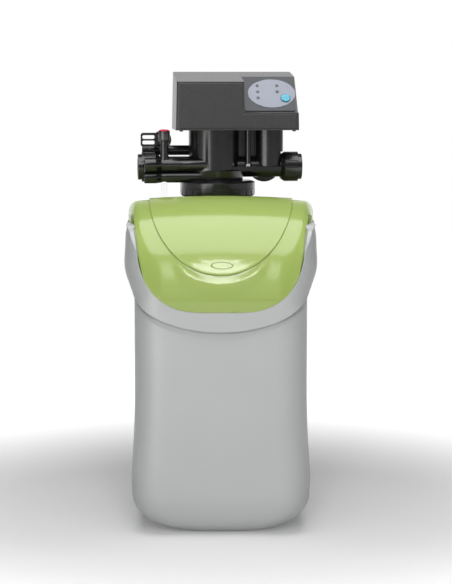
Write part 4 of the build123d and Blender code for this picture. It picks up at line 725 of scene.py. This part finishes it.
class SOFTENER_OT_valve(bpy.types.Operator):
    """Finishes the valve, its fittings, the left cluster and what the cabinet holds"""
    bl_idname = "softener.valve"
    bl_label = "Valve"

    def execute(self, context):
        # Glass-filled polyphenylene, moulded: near black with a soft broken gloss
        black = moulded_finish("glass_filled_polyphenylene", "#111112", "#171718", 0.24, 0.05, 0.7, 0.1, coat=0.15,
                               ior=1.58)
        # Acetal, moulded: milky and slightly waxy
        acetal = moulded_finish("white_acetal", "#E9E7DF", "#F1F0EA", 0.35, 0.05, 1.0, 0.05)
        # Polypropylene, moulded: dull natural white
        natural = moulded_finish("natural_polypropylene", "#DADAD6", "#E4E4E0", 0.5, 0.05, 1.2, 0.08)
        # EPDM, moulded: matt black
        rubber = moulded_finish("epdm_rubber", "#101010", "#191919", 0.75, 0.08, 0.6, 0.2)
        # Nylon cap, dyed red: slightly see-through, with a painted highlight of pale red where it faces the camera and
        # painted shade of deeper red towards its rim
        red = domed_plastic("dyed_red_nylon", "#D8244F", "#FF5F86", 0.25)
        # Zinc-plated steel: pale, fairly sharp highlights with faint turning lines
        zinc = plated_metal("zinc_plated_steel", "#D9DBDC", 0.26, 0.1)
        # Tinned steel can: greyer and softer than the plated fasteners
        can = plated_metal("tinned_motor_can", "#B9BBBD", 0.35, 0.15)
        # Turned brass: warm yellow with clear turning lines
        brass = plated_metal("turned_brass", "#C9A45A", 0.25, 0.2)
        # Each moulding's edges are rounded by so many millimetres
        soft_black = {
            "lock_ring": 0.5, "valve_body": 0.6, "meter_cap": 0.6, "right_end_fitting": 0.4, "left_end_fitting": 0.4,
            "injector_housing": 0.5, "upright_collar": 0.4, "brine_elbow": 0.4, "drain_outlet": 0.4, "pillar": 0.2,
        }
        for node, width in soft_black.items():
            smooth_copy(node, node + "_moulding", black, "cabinet", bevel=width)
        smooth_copy("right_union_nut", "right_nut_moulding", black, "right_nut", bevel=0.5)
        smooth_copy("left_union_nut", "left_nut_moulding", black, "left_nut", bevel=0.5)
        smooth_copy("loop_lever", "loop_lever_moulding", black, "lever", bevel=0.5)
        smooth_copy("hex_bolt", "hex_bolt_plated", zinc, "cabinet", bevel=0.4)
        smooth_copy("red_cap", "red_cap_moulding", red, "cabinet", bevel=0.3)
        smooth_copy("brine_tube", "brine_tube_clear", clear_vinyl(), "cabinet")
        smooth_copy("tube_grommet", "tube_grommet_ring", rubber, "cabinet", sculpt=crowned)
        cylinder_web(black)
        cluster_ends(black)
        finishes = {
            black: ("tank_boot", "bonnet", "motor_bracket", "bottom_basket", "drive_plate", "power_inlet", "piston"),
            natural: ("riser_tube", "salt_grid", "brine_well", "brine_well_cap", "float_rod", "air_check",
                      "overflow_elbow", "overflow_nut", "spacer_cage", "turbine_cage", "brine_float"),
            acetal: ("main_gear", "reduction_gear", "turbine"),
            rubber: ("neck_seal", "cage_seals", "right_gasket", "left_gasket"),
            zinc: ("hinge_pins", "plate_screws", "gear_pin", "piston_rod"),
            can: ("motor",),
            brass: ("motor_pinion",),
            wound_fibreglass(): ("resin_tank",),
            packed_beads(): ("resin_bed",),
        }
        for material, nodes in finishes.items():
            for node in nodes:
                paint_node(node, material)
        return {"FINISHED"}


class SOFTENER_OT_head(bpy.types.Operator):
    """Finishes the head cover and adds its fascia"""
    bl_idname = "softener.head"
    bl_label = "Head"

    def execute(self, context):
        trim = context.scene.softener_trim
        # Textured ABS, moulded: charcoal with a fine spark-eroded skin and a satin sheen
        charcoal = moulded_finish("textured_charcoal_abs", "#3A3A3B", "#404041", 0.28, 0.04, 0.8, 0.1)
        smooth_copy("head_cover", "head_moulding", charcoal, "head", bevel=0.9, angle=28, sculpt=head_form)
        head_fascia(trim.fascia_margin, trim.fascia_proud, charcoal)
        return {"FINISHED"}


class SOFTENER_OT_display(bpy.types.Operator):
    """Finishes the display, the button and the board, and adds the bezels"""
    bl_idname = "softener.display"
    bl_label = "Display"

    def execute(self, context):
        # Printed polyester film over a moulded frame: slate grey, satin
        slate = moulded_finish("slate_panel_film", "#1C2029", "#22262F", 0.3, 0.04, 0.5, 0.05)
        # The same film printed pale blue grey
        pale = moulded_finish("pale_panel_film", "#8D93A0", "#959BA8", 0.4, 0.04, 0.5, 0.03)
        # Smoked polycarbonate: dark and clear, with a sharp highlight, and a painted paler green where it faces the
        # camera
        lens = domed_plastic("smoked_polycarbonate", "#1E2A22", "#46584A", 0.0)
        # Teal polycarbonate: bright, with a painted highlight of pale teal pooling in the dome and painted shade
        # towards its rim
        teal = domed_plastic("teal_polycarbonate", "#1090AE", "#3CC4DE", 0.2)
        # Solder mask over copper: glossy deep green with paler tracks
        board = moulded_finish("green_circuit_board", "#0E4F26", "#17683A", 0.25, 0.1, 2.0, 0.2, coat=0.3)
        smooth_copy("display_panel", "display_frame", slate, "head", bevel=0.4, sculpt=display_form)
        smooth_copy("regen_button", "button_dome", teal, "regen_button", bevel=0.6, sculpt=button_form)
        oval_film(pale)
        paint_node("indicator_lenses", lens)
        paint_node("circuit_board", board)
        indicator_bezels(context.scene.softener_trim.bezel_width, slate)
        return {"FINISHED"}


class SOFTENER_PT_panel(bpy.types.Panel):
    """Lists the steps that dress the water softener"""
    bl_idname = "SOFTENER_PT_panel"
    bl_label = "Water softener"
    bl_space_type = "VIEW_3D"
    bl_region_type = "UI"
    bl_category = "Softener"

    def draw(self, context):
        for step in STEPS:
            self.layout.operator(step.bl_idname)
        for settings in (context.scene.softener_stage, context.scene.softener_trim):
            for key in settings.bl_rna.properties.keys():
                if key not in ("rna_type", "name"):
                    self.layout.prop(settings, key)


STEPS = (SOFTENER_OT_stage, SOFTENER_OT_cabinet, SOFTENER_OT_valve, SOFTENER_OT_head, SOFTENER_OT_display)
CLASSES = (StageSettings, TrimSettings) + STEPS + (SOFTENER_PT_panel,)


def register():
    for item in CLASSES:
        bpy.utils.register_class(item)
    bpy.types.Scene.softener_stage = PointerProperty(type=StageSettings)
    bpy.types.Scene.softener_trim = PointerProperty(type=TrimSettings)


def unregister():
    del bpy.types.Scene.softener_trim
    del bpy.types.Scene.softener_stage
    for item in reversed(CLASSES):
        bpy.utils.unregister_class(item)


def main():
    register()
    bpy.ops.softener.stage()
    bpy.ops.softener.cabinet()
    bpy.ops.softener.valve()
    bpy.ops.softener.head()
    bpy.ops.softener.display()


if __name__ == "__main__":
    main()
